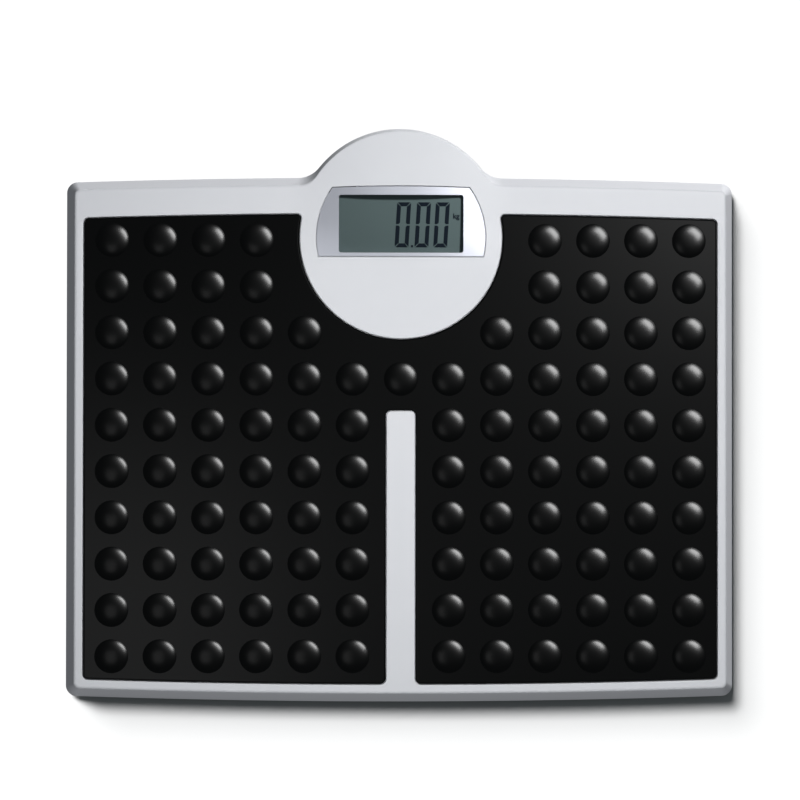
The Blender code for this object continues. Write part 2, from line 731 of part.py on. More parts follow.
def skirt_share_at(height):
    """Share from skirt to deck on the straight part of the skirt at a height."""
    levels = skirt_profile()
    (_, low), (share, high) = levels[1], levels[2]
    return share * min(max((height - low) / (high - low), 0.0), 1.0)


# Pieces of the platform

def display_plane():
    return moving_frame("display_plane", (0.0, DISPLAY_Y, DISPLAY_Z), HEAD_TILT)


def top_housing(plane):
    outside = loft_mesh([(platform_outline(deck_share=share), height)
                         for share, height in skirt_profile()])
    cut_head_lines(outside, DECK_TOP - EDGE_ROUND / 4)
    lip_top = SKIRT_CLEARANCE + SKIRT_LIP
    lift_head(outside, lip_top, DECK_TOP)
    bmesh.ops.triangulate(outside, faces=outside.faces)
    housing = place("top_housing", outside, white_plastic())

    cavity = loft_mesh([
        (platform_outline(WALL), SKIRT_CLEARANCE - OVERRUN),
        (platform_outline(WALL), lip_top),
        (platform_outline(WALL, skirt_share_at(CAVITY_TOP)), CAVITY_TOP),
    ])
    chamber_top = DECK_TOP - WALL
    round_room = arc((0.0, HEAD_Y), HEAD_RADIUS - HEAD_WALL, 0, 2 * math.pi, 2 * ROUND_STEPS)[:-1]
    chamber = prism_mesh(round_room, CASE_TOP, chamber_top)
    lift_head(chamber, CAVITY_TOP, chamber_top)
    pocket = prism_mesh(mat_outline(), POCKET_FLOOR, DOME_TOP + HEAD_RISE + OVERRUN)
    combine(housing, "DIFFERENCE", guides("housing_hollows", [cavity, chamber, pocket]))

    recess_depth = BEZEL_RECESS + BEZEL_THICKNESS + SEAT_GAP
    recess = prism_mesh(bezel_outline(-SEAT_GAP), -recess_depth, OVERRUN)
    opening = prism_mesh(
        rounded_rectangle(WINDOW_WIDTH + 2 * (COLLAR_WALL + SEAT_GAP),
                          WINDOW_DEPTH + 2 * (COLLAR_WALL + SEAT_GAP), (0.0, WINDOW_Y),
                          WINDOW_CORNER + COLLAR_WALL),
        -WALL - OVERRUN, 0.0)
    combine(housing, "DIFFERENCE", guides("display_openings", [recess, opening], plane))

    posts = []
    holes = []
    for x, y in BOSSES:
        in_head = math.hypot(x, y - HEAD_Y) < HEAD_RADIUS - HEAD_WALL
        ceiling = DECK_TOP - WALL + head_rise(x, y) if in_head else CAVITY_TOP
        posts.append(rod_mesh(BOSS_RADIUS, BOSS_BOTTOM, ceiling + SINK, SCREW_STEPS, (x, y)))
        holes.append(rod_mesh(SCREW_RADIUS + SEAT_GAP, BOSS_BOTTOM - OVERRUN,
                              BOSS_BOTTOM + BOSS_HOLE_DEPTH, SCREW_STEPS, (x, y)))
    combine(housing, "UNION", guides("housing_bosses", posts))
    combine(housing, "DIFFERENCE", guides("housing_boss_holes", holes))
    shade_round(housing)


def dome_places():
    """Centres of the studs: a grid that fills the mat, without what would touch the head or the
    strip."""
    room = DOME_RADIUS + DOME_CLEARANCE
    side = WIDTH / 2 - SKIRT_FLARE - RIM_SIDE - room
    front = DECK_FRONT + SKIRT_FLARE + RIM_SIDE + EDGE_BOW + room
    first_row = DECK_REAR - SKIRT_FLARE - RIM_REAR - DOME_FIRST_ROW
    columns_beside = int(side / DOME_PITCH_X)
    rows = int((first_row - front) / DOME_PITCH_Y) + 1
    places = []
    for row in range(rows):
        y = first_row - row * DOME_PITCH_Y
        for column in range(-columns_beside, columns_beside + 1):
            x = column * DOME_PITCH_X
            by_head = math.hypot(x, y - DISPLAY_Y) < DISPLAY_RADIUS + room
            by_strip = abs(x) < TONGUE_WIDTH / 2 + room and y < TONGUE_TOP + room
            if not by_head and not by_strip:
                places.append((x, y))
    return places


def rubber_mat():
    mat = place("rubber_mat", loft_mesh([
        (mat_outline(MAT_GAP), MAT_BOTTOM),
        (mat_outline(MAT_GAP), DECK_TOP - MAT_CHAMFER),
        (mat_outline(MAT_GAP + MAT_CHAMFER), DECK_TOP),
    ]), black_rubber())
    profile = [
        (0.0, DECK_TOP - MAT_THICKNESS / 2),
        (DOME_RADIUS, DECK_TOP - MAT_THICKNESS / 2),
        (DOME_RADIUS, DECK_TOP),
        (DOME_RADIUS * DOME_SHOULDER_SHARE, DECK_TOP + DOME_RISE * DOME_SHOULDER_RISE_SHARE),
        (0.0, DOME_TOP),
    ]
    studs = bmesh.new()
    for x, y in dome_places():
        one = turned_mesh(profile, DOME_STEPS, (x, y))
        piece = bpy.data.meshes.new("stud")
        one.to_mesh(piece)
        one.free()
        studs.from_mesh(piece)
        bpy.data.meshes.remove(piece)
    combine(mat, "UNION", guides("mat_studs", [studs]))
    shade_round(mat, STUD_EDGE)


def display_bezel(plane):
    plate_bottom = -BEZEL_RECESS - BEZEL_THICKNESS
    bezel = place("display_bezel", prism_mesh(bezel_outline(), plate_bottom, -BEZEL_RECESS),
                  silver_film(), plane)
    centre = (0.0, WINDOW_Y)
    collar = prism_mesh(
        rounded_rectangle(WINDOW_WIDTH + 2 * COLLAR_WALL, WINDOW_DEPTH + 2 * COLLAR_WALL, centre,
                          WINDOW_CORNER + COLLAR_WALL),
        -WALL, plate_bottom + SINK / 2)
    window = prism_mesh(rounded_rectangle(WINDOW_WIDTH, WINDOW_DEPTH, centre, WINDOW_CORNER),
                        -WALL - OVERRUN, OVERRUN)
    combine(bezel, "UNION", guides("bezel_collar", [collar], plane))
    combine(bezel, "DIFFERENCE", guides("bezel_window", [window], plane))


def display_stack(plane):
    """Pane, display and the frame that holds them, stacked under the head's top wall."""
    centre = (0.0, WINDOW_Y)
    sheet = rounded_rectangle(LCD_WIDTH, LCD_DEPTH, centre)
    place("display_window", prism_mesh(sheet, PANE_BOTTOM, PANE_TOP), clear_pane(), plane)
    place("lcd_panel", prism_mesh(sheet, LCD_BOTTOM, LCD_TOP), display_glass(), plane)

    outside = rounded_rectangle(LCD_WIDTH + 2 * FRAME_WALL, LCD_DEPTH + 2 * FRAME_WALL, centre)
    frame = place("lcd_frame", prism_mesh(outside, FRAME_BOTTOM, PANE_TOP), dark_plastic(), plane)
    inside = rounded_rectangle(LCD_WIDTH + 2 * SEAT_GAP, LCD_DEPTH + 2 * SEAT_GAP, centre)
    hollow = prism_mesh(inside, LCD_BOTTOM - SEAT_GAP, PANE_TOP + OVERRUN)
    slot = prism_mesh(
        rounded_rectangle(RIBBON_WIDTH + 2 * OVERRUN, RIBBON_SLOT,
                          (0.0, WINDOW_Y - LCD_DEPTH / 4)),
        FRAME_BOTTOM - OVERRUN, LCD_BOTTOM)
    combine(frame, "DIFFERENCE", guides("frame_hollows", [hollow, slot], plane))


def smooth_route(points, count):
    """Points at even steps of the parameter along a smooth curve through the given ones."""
    knots = [Vector(p) for p in points]
    knots = [2 * knots[0] - knots[1]] + knots + [2 * knots[-1] - knots[-2]]
    spans = len(knots) - 3
    route = []
    for step in range(count + 1):
        at = min(step * spans / count, spans - 1e-9)
        span = int(at)
        t = at - span
        a, b, c, d = knots[span:span + 4]
        route.append(0.5 * ((2 * b) + (c - a) * t + (2 * a - 5 * b + 4 * c - d) * t ** 2
                            + (3 * b - a - 3 * c + d) * t ** 3))
    return route


def tube_mesh(route, radius, sides):
    """A closed round tube along a route, square at both ends."""
    bm = bmesh.new()
    forward = (route[1] - route[0]).normalized()
    across = forward.orthogonal().normalized()
    loops = []
    for i, point in enumerate(route):
        before = route[max(i - 1, 0)]
        after = route[min(i + 1, len(route) - 1)]
        turn = forward.rotation_difference((after - before).normalized())
        forward = (after - before).normalized()
        across = turn @ across
        beside = forward.cross(across)
        angles = [2 * math.pi * k / sides for k in range(sides)]
        loops.append([bm.verts.new(point + radius * (math.cos(a) * across + math.sin(a) * beside))
                      for a in angles])
    bm.faces.new(list(reversed(loops[0])))
    for lower, upper in zip(loops, loops[1:]):
        skin(bm, lower, upper)
    bm.faces.new(loops[-1])
    return bm


def cable(name, route, radius, finish):
    """A cable that bends smoothly through the points of its route, with filled caps."""
    curve = bpy.data.curves.new(name, "CURVE")
    curve.dimensions = "3D"
    curve.bevel_depth = radius
    curve.bevel_resolution = 2
    curve.resolution_u = CABLE_STEPS
    curve.use_fill_caps = True
    spline = curve.splines.new("BEZIER")
    spline.bezier_points.add(len(route) - 1)
    for point, place_on in zip(spline.bezier_points, route):
        point.co = place_on
        point.handle_left_type = "AUTO"
        point.handle_right_type = "AUTO"
    curve.materials.append(finish)
    made = bpy.data.objects.new(name, curve)
    bpy.context.scene.collection.objects.link(made)


def lcd_ribbon():
    """Flat lead from the display's underside down to the board, a bent strip of even thickness."""
    top_y = DISPLAY_Y + (WINDOW_Y - LCD_DEPTH / 4) * math.cos(HEAD_TILT)
    top_z = DISPLAY_Z + HEAD_SLOPE * (top_y - DISPLAY_Y) + LCD_BOTTOM - SEAT_GAP
    foot_z = BOARD_TOP + SEAT_GAP + RIBBON_THICKNESS
    line = smooth_route([
        (0.0, top_y, top_z - RIBBON_THICKNESS / 2),
        (0.0, top_y - RIBBON_THICKNESS, (top_z + foot_z) / 2),
        (0.0, top_y - RIBBON_SLOT / 2, foot_z + RIBBON_THICKNESS),
        (0.0, top_y - RIBBON_SLOT - CONNECTOR_DEPTH / 2, foot_z),
    ], SMALL_STEPS)
    bm = bmesh.new()
    rails = [[bm.verts.new((side * RIBBON_WIDTH / 2, p.y, p.z)) for p in line] for side in (-1, 1)]
    for i in range(len(line) - 1):
        bm.faces.new((rails[0][i], rails[1][i], rails[1][i + 1], rails[0][i + 1]))
    ribbon = place("lcd_ribbon", bm, copper_film())
    thicken = ribbon.modifiers.new("thickness", "SOLIDIFY")
    thicken.thickness = RIBBON_THICKNESS
    thicken.offset = 0.0


# Base

def stiffener_plate():
    """Steel sheet under the standing surface, cut out round the head."""
    half_width = WIDTH / 2 - STIFFENER_INSET
    front = DECK_FRONT + STIFFENER_INSET
    rear = DECK_REAR - STIFFENER_INSET
    notch = DISPLAY_RADIUS + STIFFENER_HEAD_GAP
    notch_front = HEAD_FRONT - STIFFENER_HEAD_GAP
    right = [(0.0, front), (half_width, front), (half_width, rear), (notch, rear),
             (notch, notch_front), (0.0, notch_front)]
    place("stiffener_plate", prism_mesh(mirrored(right), STIFFENER_BOTTOM, STIFFENER_TOP), zinc_steel())


def base_adders():
    rim_outer = BASE_INSET + BASE_WALL_INSET
    wall = ring_mesh(platform_outline(rim_outer), platform_outline(rim_outer + BASE_WALL),
                     BASE_TOP - SINK, BASE_TOP + BASE_WALL_HEIGHT)
    solids = [wall]
    for x, y in FEET.values():
        solids.append(rod_mesh(TOWER_RADIUS, BASE_BOTTOM, TOWER_TOP, ROUND_STEPS, (x, y)))
    low = BASE_TOP - SINK
    high = BASE_BOTTOM + RIB_HEIGHT
    half = RIB_THICKNESS / 2
    inner_x = FOOT_X - POCKET_RADIUS - POCKET_WALL / 2
    solids.append(box_mesh((-inner_x, FOOT_FRONT_Y - half, low), (inner_x, FOOT_FRONT_Y + half, high)))
    for side in (-1, 1):
        ends = sorted((side * (RIB_SPREAD - half), side * inner_x))
        solids.append(box_mesh((ends[0], FOOT_REAR_Y - half, low), (ends[1], FOOT_REAR_Y + half, high)))
        rib_ends = (FOOT_FRONT_Y + POCKET_RADIUS + POCKET_WALL / 2,
                    FOOT_REAR_Y - POCKET_RADIUS - POCKET_WALL / 2)
        solids.append(box_mesh((side * FOOT_X - half, rib_ends[0], low),
                               (side * FOOT_X + half, rib_ends[1], high)))
        middle = side * RIB_SPREAD
        solids.append(box_mesh((middle - half, FOOT_FRONT_Y, low), (middle + half, FOOT_REAR_Y, high)))
    outer_x = CASE_HALF_WIDTH + CASE_WALL
    solids.append(box_mesh((-outer_x, CASE_FRONT - CASE_WALL, BASE_BOTTOM),
                           (outer_x, CASE_REAR + CASE_WALL, CASE_TOP)))
    scoop_x = SCOOP_WIDTH / 2 + SCOOP_WALL
    scoop_top = BASE_BOTTOM + SCOOP_DEPTH
    solids.append(box_mesh((-scoop_x, DOOR_FRONT - SCOOP_LENGTH - SCOOP_WALL, low),
                           (scoop_x, CASE_FRONT - CASE_WALL / 2, scoop_top + SCOOP_WALL)))
    for x, y in BOSSES:
        solids.append(rod_mesh(SEAT_RADIUS, low, SEAT_TOP, SCREW_STEPS, (x, y)))
    for x, y in BOARD_POSTS:
        solids.append(rod_mesh(BOARD_POST_RADIUS, low, BOARD_BOTTOM - SEAT_GAP, SCREW_STEPS, (x, y)))
    for x in BUTTONS.values():
        solids.append(rod_mesh(GUIDE_RADIUS, low, BASE_BOTTOM + GUIDE_HEIGHT, SMALL_STEPS, (x, BUTTON_Y)))
    return solids


def foot_pocket(x, y):
    """Cutters of one tower: the cup's bore with its groove, the room over the gauge between its
    two rails, the open top, and the notch that lets the cable out towards the middle."""
    below = BASE_BOTTOM - OVERRUN
    bore = turned_mesh([
        (0.0, below), (POCKET_RADIUS, below), (POCKET_RADIUS, GROOVE_BOTTOM),
        (GROOVE_RADIUS, GROOVE_BOTTOM), (GROOVE_RADIUS, GROOVE_TOP), (POCKET_RADIUS, GROOVE_TOP),
        (POCKET_RADIUS, RAIL_BOTTOM), (0.0, RAIL_BOTTOM),
    ], ROUND_STEPS, (x, y))
    room = GAUGE_WIDTH / 2 - GAUGE_FRAME
    relief = box_mesh((x - room, y - room, RAIL_BOTTOM - SINK), (x + room, y + room, POCKET_CEILING))
    attic_floor = POCKET_CEILING + TOWER_CEILING
    attic = rod_mesh(POCKET_RADIUS, attic_floor, TOWER_TOP + OVERRUN, ROUND_STEPS, (x, y))
    return [bore, relief, attic, cable_notch(x, y)]


def inward(x, y):
    """Unit direction from a foot to the middle of the board's front edge, on the level."""
    return (Vector((0.0, BOARD_FRONT, 0.0)) - Vector((x, y, 0.0))).normalized()


def cable_notch(x, y):
    """A level slot through the tower's wall at the height of the gauge."""
    bm = box_mesh((GAUGE_WIDTH / 2, -CABLE_NOTCH / 2, CUP_TOP + FOOT_TRAVEL),
                  (TOWER_RADIUS + OVERRUN, CABLE_NOTCH / 2, CUP_TOP + FOOT_TRAVEL + CABLE_NOTCH))
    direction = inward(x, y)
    turn = Matrix.Rotation(math.atan2(direction.y, direction.x), 4, "Z")
    bmesh.ops.transform(bm, matrix=Matrix.Translation((x, y, 0.0)) @ turn, verts=bm.verts)
    return bm


def base_cutters():
    below = BASE_BOTTOM - OVERRUN
    solids = []
    for x, y in FEET.values():
        solids += foot_pocket(x, y)
    solids.append(box_mesh((-CASE_HALF_WIDTH, CASE_FRONT, below),
                           (CASE_HALF_WIDTH, CASE_REAR, CASE_CEILING)))
    door_room = DOOR_HALF_WIDTH + SLIDE_GAP
    solids.append(box_mesh((-door_room, DOOR_FRONT - SLIDE_GAP, below),
                           (door_room, DOOR_REAR + SLIDE_GAP, DOOR_TOP + SEAT_GAP)))
    solids.append(box_mesh((-SCOOP_WIDTH / 2, DOOR_FRONT - SCOOP_LENGTH, below),
                           (SCOOP_WIDTH / 2, DOOR_FRONT + SLIDE_GAP, BASE_BOTTOM + SCOOP_DEPTH)))
    for x in lead_xs():
        solids.append(box_mesh((x - LEAD_HOLE, CASE_REAR - OVERRUN, LEAD_Z - LEAD_HOLE),
                               (x + LEAD_HOLE, CASE_REAR + CASE_WALL + OVERRUN, LEAD_Z + LEAD_HOLE)))
    for x, y in BOSSES:
        solids.append(rod_mesh(SCREW_HEAD_RADIUS + SLIDE_GAP, below, SCREW_HEAD_TOP, SCREW_STEPS, (x, y)))
        solids.append(rod_mesh(SCREW_RADIUS + SEAT_GAP, SCREW_HEAD_TOP - SINK, SEAT_TOP + OVERRUN,
                               SCREW_STEPS, (x, y)))
    for x, y in BOARD_POSTS:
        solids.append(rod_mesh(BOARD_SCREW_RADIUS + SEAT_GAP, BOARD_BOTTOM - BOARD_SCREW_LENGTH,
                               BOARD_BOTTOM + OVERRUN, SCREW_STEPS, (x, y)))
    for x in BUTTONS.values():
        top = BASE_BOTTOM + GUIDE_HEIGHT + OVERRUN
        solids.append(turned_mesh([(0.0, below), (GUIDE_BORE, below), (GUIDE_BORE, GUIDE_STEP),
                                   (GUIDE_UPPER_BORE, GUIDE_STEP), (GUIDE_UPPER_BORE, top), (0.0, top)],
                                  SMALL_STEPS, (x, BUTTON_Y)))
    return solids


def base_tray():
    plate = prism_mesh(platform_outline(BASE_INSET), BASE_BOTTOM, BASE_TOP)
    base = place("base_tray", plate, grey_plastic())
    combine(base, "UNION", guides("base_walls", base_adders()))
    combine(base, "DIFFERENCE", guides("base_holes", base_cutters()))
    shade_round(base)


# Feet

def load_cell(name, x, y):
    """Stamped steel gauge: a square frame whose tongue bends when the foot presses it."""
    half = GAUGE_WIDTH / 2
    gauge = place(f"load_cell_{name}", prism_mesh(rounded_rectangle(GAUGE_WIDTH, GAUGE_WIDTH, (x, y)),
                                                 GAUGE_BOTTOM, GAUGE_TOP), zinc_steel())
    low, high = GAUGE_BOTTOM - OVERRUN, GAUGE_TOP + OVERRUN
    tongue = GAUGE_TONGUE / 2
    end = half - GAUGE_FRAME
    slots = [box_mesh((x + side * (tongue + GAUGE_SLOT / 2) - GAUGE_SLOT / 2, y - end, low),
                      (x + side * (tongue + GAUGE_SLOT / 2) + GAUGE_SLOT / 2, y + end, high))
             for side in (-1, 1)]
    slots.append(box_mesh((x - tongue - GAUGE_SLOT / 2, y - end, low),
                          (x + tongue + GAUGE_SLOT / 2, y - end + GAUGE_SLOT, high)))
    combine(gauge, "DIFFERENCE", guides(f"gauge_slots_{name}", slots))


def foot(name, x, y):
    frame = moving_frame(f"foot_axis_{name}", (x, y, 0.0))
    pad = turned_mesh([
        (0.0, 0.0), (PAD_RADIUS - PAD_CHAMFER, 0.0), (PAD_RADIUS, PAD_CHAMFER),
        (PAD_RADIUS, PAD_TOP), (0.0, PAD_TOP),
    ], ROUND_STEPS)
    shade_round(place(f"foot_pad_{name}", pad, black_rubber(), frame))
    floor = CUP_BOTTOM + CUP_FLOOR
    post_top = GAUGE_BOTTOM - SEAT_GAP
    cup = turned_mesh([
        (0.0, CUP_BOTTOM), (CUP_RADIUS, CUP_BOTTOM), (CUP_RADIUS, LUG_BOTTOM), (LUG_RADIUS, LUG_BOTTOM),
        (LUG_RADIUS, LUG_TOP), (CUP_RADIUS, CUP_TOP), (CUP_RADIUS - CUP_WALL, CUP_TOP),
        (CUP_RADIUS - CUP_WALL, floor), (POST_RADIUS, floor), (POST_RADIUS, post_top), (0.0, post_top),
    ], ROUND_STEPS)
    shade_round(place(f"foot_cup_{name}", cup, dark_plastic(), frame))


# Cells, contacts and door

LEAD_Z = CELL_BOTTOM + CELL_DIAMETER - LEAD_HOLE * 2


def cell_x(index):
    return (index - (CELL_COUNT - 1) / 2) * CELL_PITCH


def lead_xs():
    """The two outer cells' contacts at the back of the case, where the leads start."""
    return (cell_x(0), cell_x(CELL_COUNT - 1))


def faces_front(index):
    """Cells lie head to tail; an even one has its nub at the front."""
    return index % 2 == 0


def battery(index):
    """A cell with its nub against one contact and its flat end against the other's spring."""
    x = cell_x(index)
    body = [
        (0.0, 0.0), (CELL_DIAMETER / 2, 0.0), (CELL_DIAMETER / 2, CELL_LENGTH), (NUB_RADIUS, CELL_LENGTH),
        (NUB_RADIUS, CELL_LENGTH + NUB_LENGTH), (0.0, CELL_LENGTH + NUB_LENGTH),
    ]
    bm = turned_mesh(body, SMALL_STEPS)
    if faces_front(index):
        nub_end = CASE_FRONT + CONTACT_STACK
        lay = Matrix.Rotation(QUARTER, 4, "X")
    else:
        nub_end = CASE_REAR - CONTACT_STACK
        lay = Matrix.Rotation(-QUARTER, 4, "X")
    whole = CELL_LENGTH + NUB_LENGTH
    start_y = nub_end + whole if faces_front(index) else nub_end - whole
    bmesh.ops.transform(bm, matrix=Matrix.Translation((x, start_y, CELL_Z)) @ lay, verts=bm.verts)
    shade_round(place(f"battery_{index + 1}", bm, cell_jacket()))


def coil_mesh(x, y, inward_y):
    """A battery spring that narrows from its plate towards the cell."""
    start = y - inward_y * SPRING_WIRE / 4
    reach = SPRING_LENGTH - SEAT_GAP - SPRING_WIRE / 2
    count = SPRING_TURNS * COIL_STEPS
    route = []
    for i in range(count + 1):
        along = i / count
        radius = SPRING_WIDE + (SPRING_NARROW - SPRING_WIDE) * along
        angle = 2 * math.pi * i / COIL_STEPS
        route.append(Vector((x + radius * math.cos(angle), start + inward_y * reach * along,
                             CELL_Z + radius * math.sin(angle))))
    return tube_mesh(route, SPRING_WIRE / 2, COIL_SIDES)


def contact(number, cells, at_rear):
    """A contact plate at one end of the case for one cell or a pair, with its spring or springs."""
    wall_y = CASE_REAR if at_rear else CASE_FRONT
    inward_y = -1 if at_rear else 1
    near = wall_y + inward_y * SEAT_GAP
    far = near + inward_y * CONTACT_THICKNESS
    xs = [cell_x(i) for i in cells]
    low = (min(xs) - CONTACT_WIDTH / 2, min(near, far), CELL_Z - CONTACT_HEIGHT / 2)
    high = (max(xs) + CONTACT_WIDTH / 2, max(near, far), CELL_Z + CONTACT_HEIGHT / 2)
    plate = place(f"cell_contact_{number}", box_mesh(low, high), zinc_steel())
    sprung = [i for i in cells if faces_front(i) == at_rear]
    if sprung:
        coils = [coil_mesh(cell_x(i), far, inward_y) for i in sprung]
        combine(plate, "UNION", guides(f"contact_springs_{number}", coils))


def contacts():
    """In series: the outer ends lead out at the back and plates join neighbours elsewhere."""
    last = CELL_COUNT - 1
    contact(1, [0], True)
    contact(2, [0, 1], False)
    contact(3, [1, 2], True)
    contact(4, [2, last], False)
    contact(5, [last], True)


def battery_door():
    axis = moving_frame("door_hinge", (0.0, DOOR_REAR, BASE_BOTTOM))
    length = DOOR_REAR - DOOR_FRONT
    door = place("battery_door", box_mesh((-DOOR_HALF_WIDTH, -length, 0.0),
                                          (DOOR_HALF_WIDTH, 0.0, DOOR_THICKNESS)), grey_plastic(), axis)
    hook_low = DOOR_THICKNESS + HOOK_STEP
    hook_high = hook_low + HOOK_WALL
    riser_front = -SLIDE_GAP - HOOK_WALL
    extras = []
    for side in (-1, 1):
        low_x = side * HOOK_SPACING / 2 - HOOK_WIDTH / 2
        extras.append(box_mesh((low_x, riser_front, SINK), (low_x + HOOK_WIDTH, -SLIDE_GAP, hook_high)))
        extras.append(box_mesh((low_x, riser_front + SINK, hook_low),
                               (low_x + HOOK_WIDTH, HOOK_REACH, hook_high)))
    extras.append(box_mesh((-LIP_WIDTH / 2, -length - LIP_LENGTH, SINK),
                           (LIP_WIDTH / 2, -length + SINK, DOOR_THICKNESS - SINK)))
    combine(door, "UNION", guides("door_hooks", extras, axis))


# Board

def circuit_board():
    board = place("circuit_board", prism_mesh(
        rounded_rectangle(BOARD_WIDTH, BOARD_DEPTH, (0.0, BOARD_Y)), BOARD_BOTTOM, BOARD_TOP),
        green_laminate())
    holes = [rod_mesh(BOARD_SCREW_RADIUS + SEAT_GAP, BOARD_BOTTOM - OVERRUN, BOARD_TOP + OVERRUN,
                      SCREW_STEPS, spot) for spot in BOARD_POSTS]
    combine(board, "DIFFERENCE", guides("board_holes", holes))

    seat = BOARD_TOP + SEAT_GAP
    chip_y = BOARD_Y + CHIP_WIDTH
    chip = rounded_rectangle(CHIP_WIDTH, CHIP_WIDTH, (0.0, chip_y))
    place("microcontroller", prism_mesh(chip, seat, seat + CHIP_THICKNESS), black_resin())
    radio_x = CHIP_WIDTH / 2 + CHIP_SPACE + RADIO_LENGTH / 2
    can = rounded_rectangle(RADIO_LENGTH, RADIO_WIDTH, (radio_x, chip_y))
    place("radio_module", prism_mesh(can, seat, seat + RADIO_THICKNESS), zinc_steel())
    half = CONNECTOR_WIDTH / 2
    front, back = CONNECTOR_Y - CONNECTOR_DEPTH / 2, CONNECTOR_Y + CONNECTOR_DEPTH / 2
    top = CONNECTOR_BOTTOM + CONNECTOR_HEIGHT
    header = place("cell_connector", box_mesh((-half, front, CONNECTOR_BOTTOM), (half, back, top)),
                   white_plastic())
    slot_half = CONNECTOR_SLOT / 2
    slot = box_mesh((-half + CONNECTOR_SLOT, CONNECTOR_Y - slot_half, CONNECTOR_BOTTOM + CONNECTOR_SLOT),
                    (half - CONNECTOR_SLOT, CONNECTOR_Y + slot_half, top + OVERRUN))
    combine(header, "DIFFERENCE", guides("connector_slot", [slot]))


def switch_and_button(name, x):
    half = SWITCH_WIDTH / 2
    body = place(f"{name}_switch", box_mesh((x - half, BUTTON_Y - half, SWITCH_BOTTOM),
                                            (x + half, BUTTON_Y + half, SWITCH_TOP)), black_resin())
    plunger_top = PLUNGER_BOTTOM + PLUNGER_LENGTH
    bore = rod_mesh(PLUNGER_RADIUS + SEAT_GAP, SWITCH_BOTTOM - OVERRUN,
                    plunger_top + BUTTON_TRAVEL + SEAT_GAP, SMALL_STEPS, (x, BUTTON_Y))
    combine(body, "DIFFERENCE", guides(f"{name}_switch_bore", [bore]))

    axis = moving_frame(f"{name}_button_axis", (x, BUTTON_Y, BUTTON_BOTTOM))
    plunger = rod_mesh(PLUNGER_RADIUS, PLUNGER_BOTTOM - BUTTON_BOTTOM, plunger_top - BUTTON_BOTTOM,
                       SMALL_STEPS)
    shade_round(place(f"{name}_plunger", plunger, dark_plastic(), axis))
    flange_bottom, flange_top = FLANGE_BOTTOM - BUTTON_BOTTOM, FLANGE_TOP - BUTTON_BOTTOM
    stem_top = STEM_TOP - BUTTON_BOTTOM
    button = turned_mesh([
        (0.0, 0.0), (BUTTON_RADIUS, 0.0), (BUTTON_RADIUS, flange_bottom),
        (BUTTON_FLANGE_RADIUS, flange_bottom), (BUTTON_FLANGE_RADIUS, flange_top),
        (BUTTON_STEM_RADIUS, flange_top), (BUTTON_STEM_RADIUS, stem_top), (0.0, stem_top),
    ], SMALL_STEPS)
    shade_round(place(f"{name}_button", button, dark_plastic(), axis))


# Fasteners and leads

def screw(name, x, y, seat_z, upward, radius, length, head_radius, head_height):
    """A pan-head screw whose head's inner face is at seat_z; upward is the shaft's direction."""
    profile = [
        (0.0, -head_height), (head_radius * SCREW_FACE_SHARE, -head_height),
        (head_radius, -head_height / 2),
        (head_radius, 0.0), (radius, 0.0), (radius, length - radius), (0.0, length),
    ]
    bm = turned_mesh(profile, SCREW_STEPS)
    if not upward:
        bmesh.ops.rotate(bm, verts=bm.verts, cent=(0.0, 0.0, 0.0),
                         matrix=Matrix.Rotation(math.pi, 3, "X"))
    bmesh.ops.translate(bm, verts=bm.verts, vec=(x, y, seat_z))
    shade_round(place(name, bm, zinc_steel()))


def screws():
    for count, (x, y) in enumerate(BOSSES, 1):
        screw(f"housing_screw_{count}", x, y, SCREW_HEAD_TOP - SEAT_GAP, True,
              SCREW_RADIUS, SCREW_LENGTH, SCREW_HEAD_RADIUS, SCREW_HEAD_HEIGHT)
    for count, (x, y) in enumerate(BOARD_POSTS, 1):
        screw(f"board_screw_{count}", x, y, BOARD_TOP + SEAT_GAP, False, BOARD_SCREW_RADIUS,
              BOARD_SCREW_LENGTH, BOARD_SCREW_HEAD_RADIUS, BOARD_SCREW_HEAD_HEIGHT)


def load_cell_cables():
    """From each gauge's edge through its tower's notch, under the stiffener and over the ribs, to
    the connector on the board."""
    radius = CABLE_DIAMETER / 2
    high = (BASE_BOTTOM + RIB_HEIGHT + STIFFENER_BOTTOM) / 2
    connector_z = CONNECTOR_BOTTOM + CONNECTOR_HEIGHT / 2
    end_y = CONNECTOR_Y - CONNECTOR_DEPTH / 2 - SEAT_GAP
    notch_z = CUP_TOP + FOOT_TRAVEL + CABLE_NOTCH / 2
    for name, (x, y) in FEET.items():
        away = inward(x, y)
        corner = Vector((x, y, notch_z))
        start = corner + away * (GAUGE_WIDTH / 2 / max(abs(away.x), abs(away.y)) + SEAT_GAP + radius)
        through = corner + away * TOWER_RADIUS
        outside = corner + away * (TOWER_RADIUS + CABLE_NOTCH)
        risen = outside + away * TOWER_RADIUS
        risen.z = high
        settled = risen + away * TOWER_RADIUS
        side = -1 if x < 0 else 1
        order = side * CABLE_ORDER_SHARES["rear" in name] * CABLE_SPACING
        before_y = end_y - 2 * CONNECTOR_DEPTH
        gather_y = before_y - (before_y - CASE_REAR) * GATHER_SHARES["rear" in name]
        gather = Vector((order * CABLE_FAN_SHARE, gather_y, high))
        approach = gather + (settled - gather).normalized() * TOWER_RADIUS
        before = Vector((order, before_y, connector_z))
        end = Vector((order, end_y, connector_z))
        cable(f"load_cell_cable_{name}",
              [start, through, outside, risen, settled, approach, gather, before, end],
              radius, grey_cable())


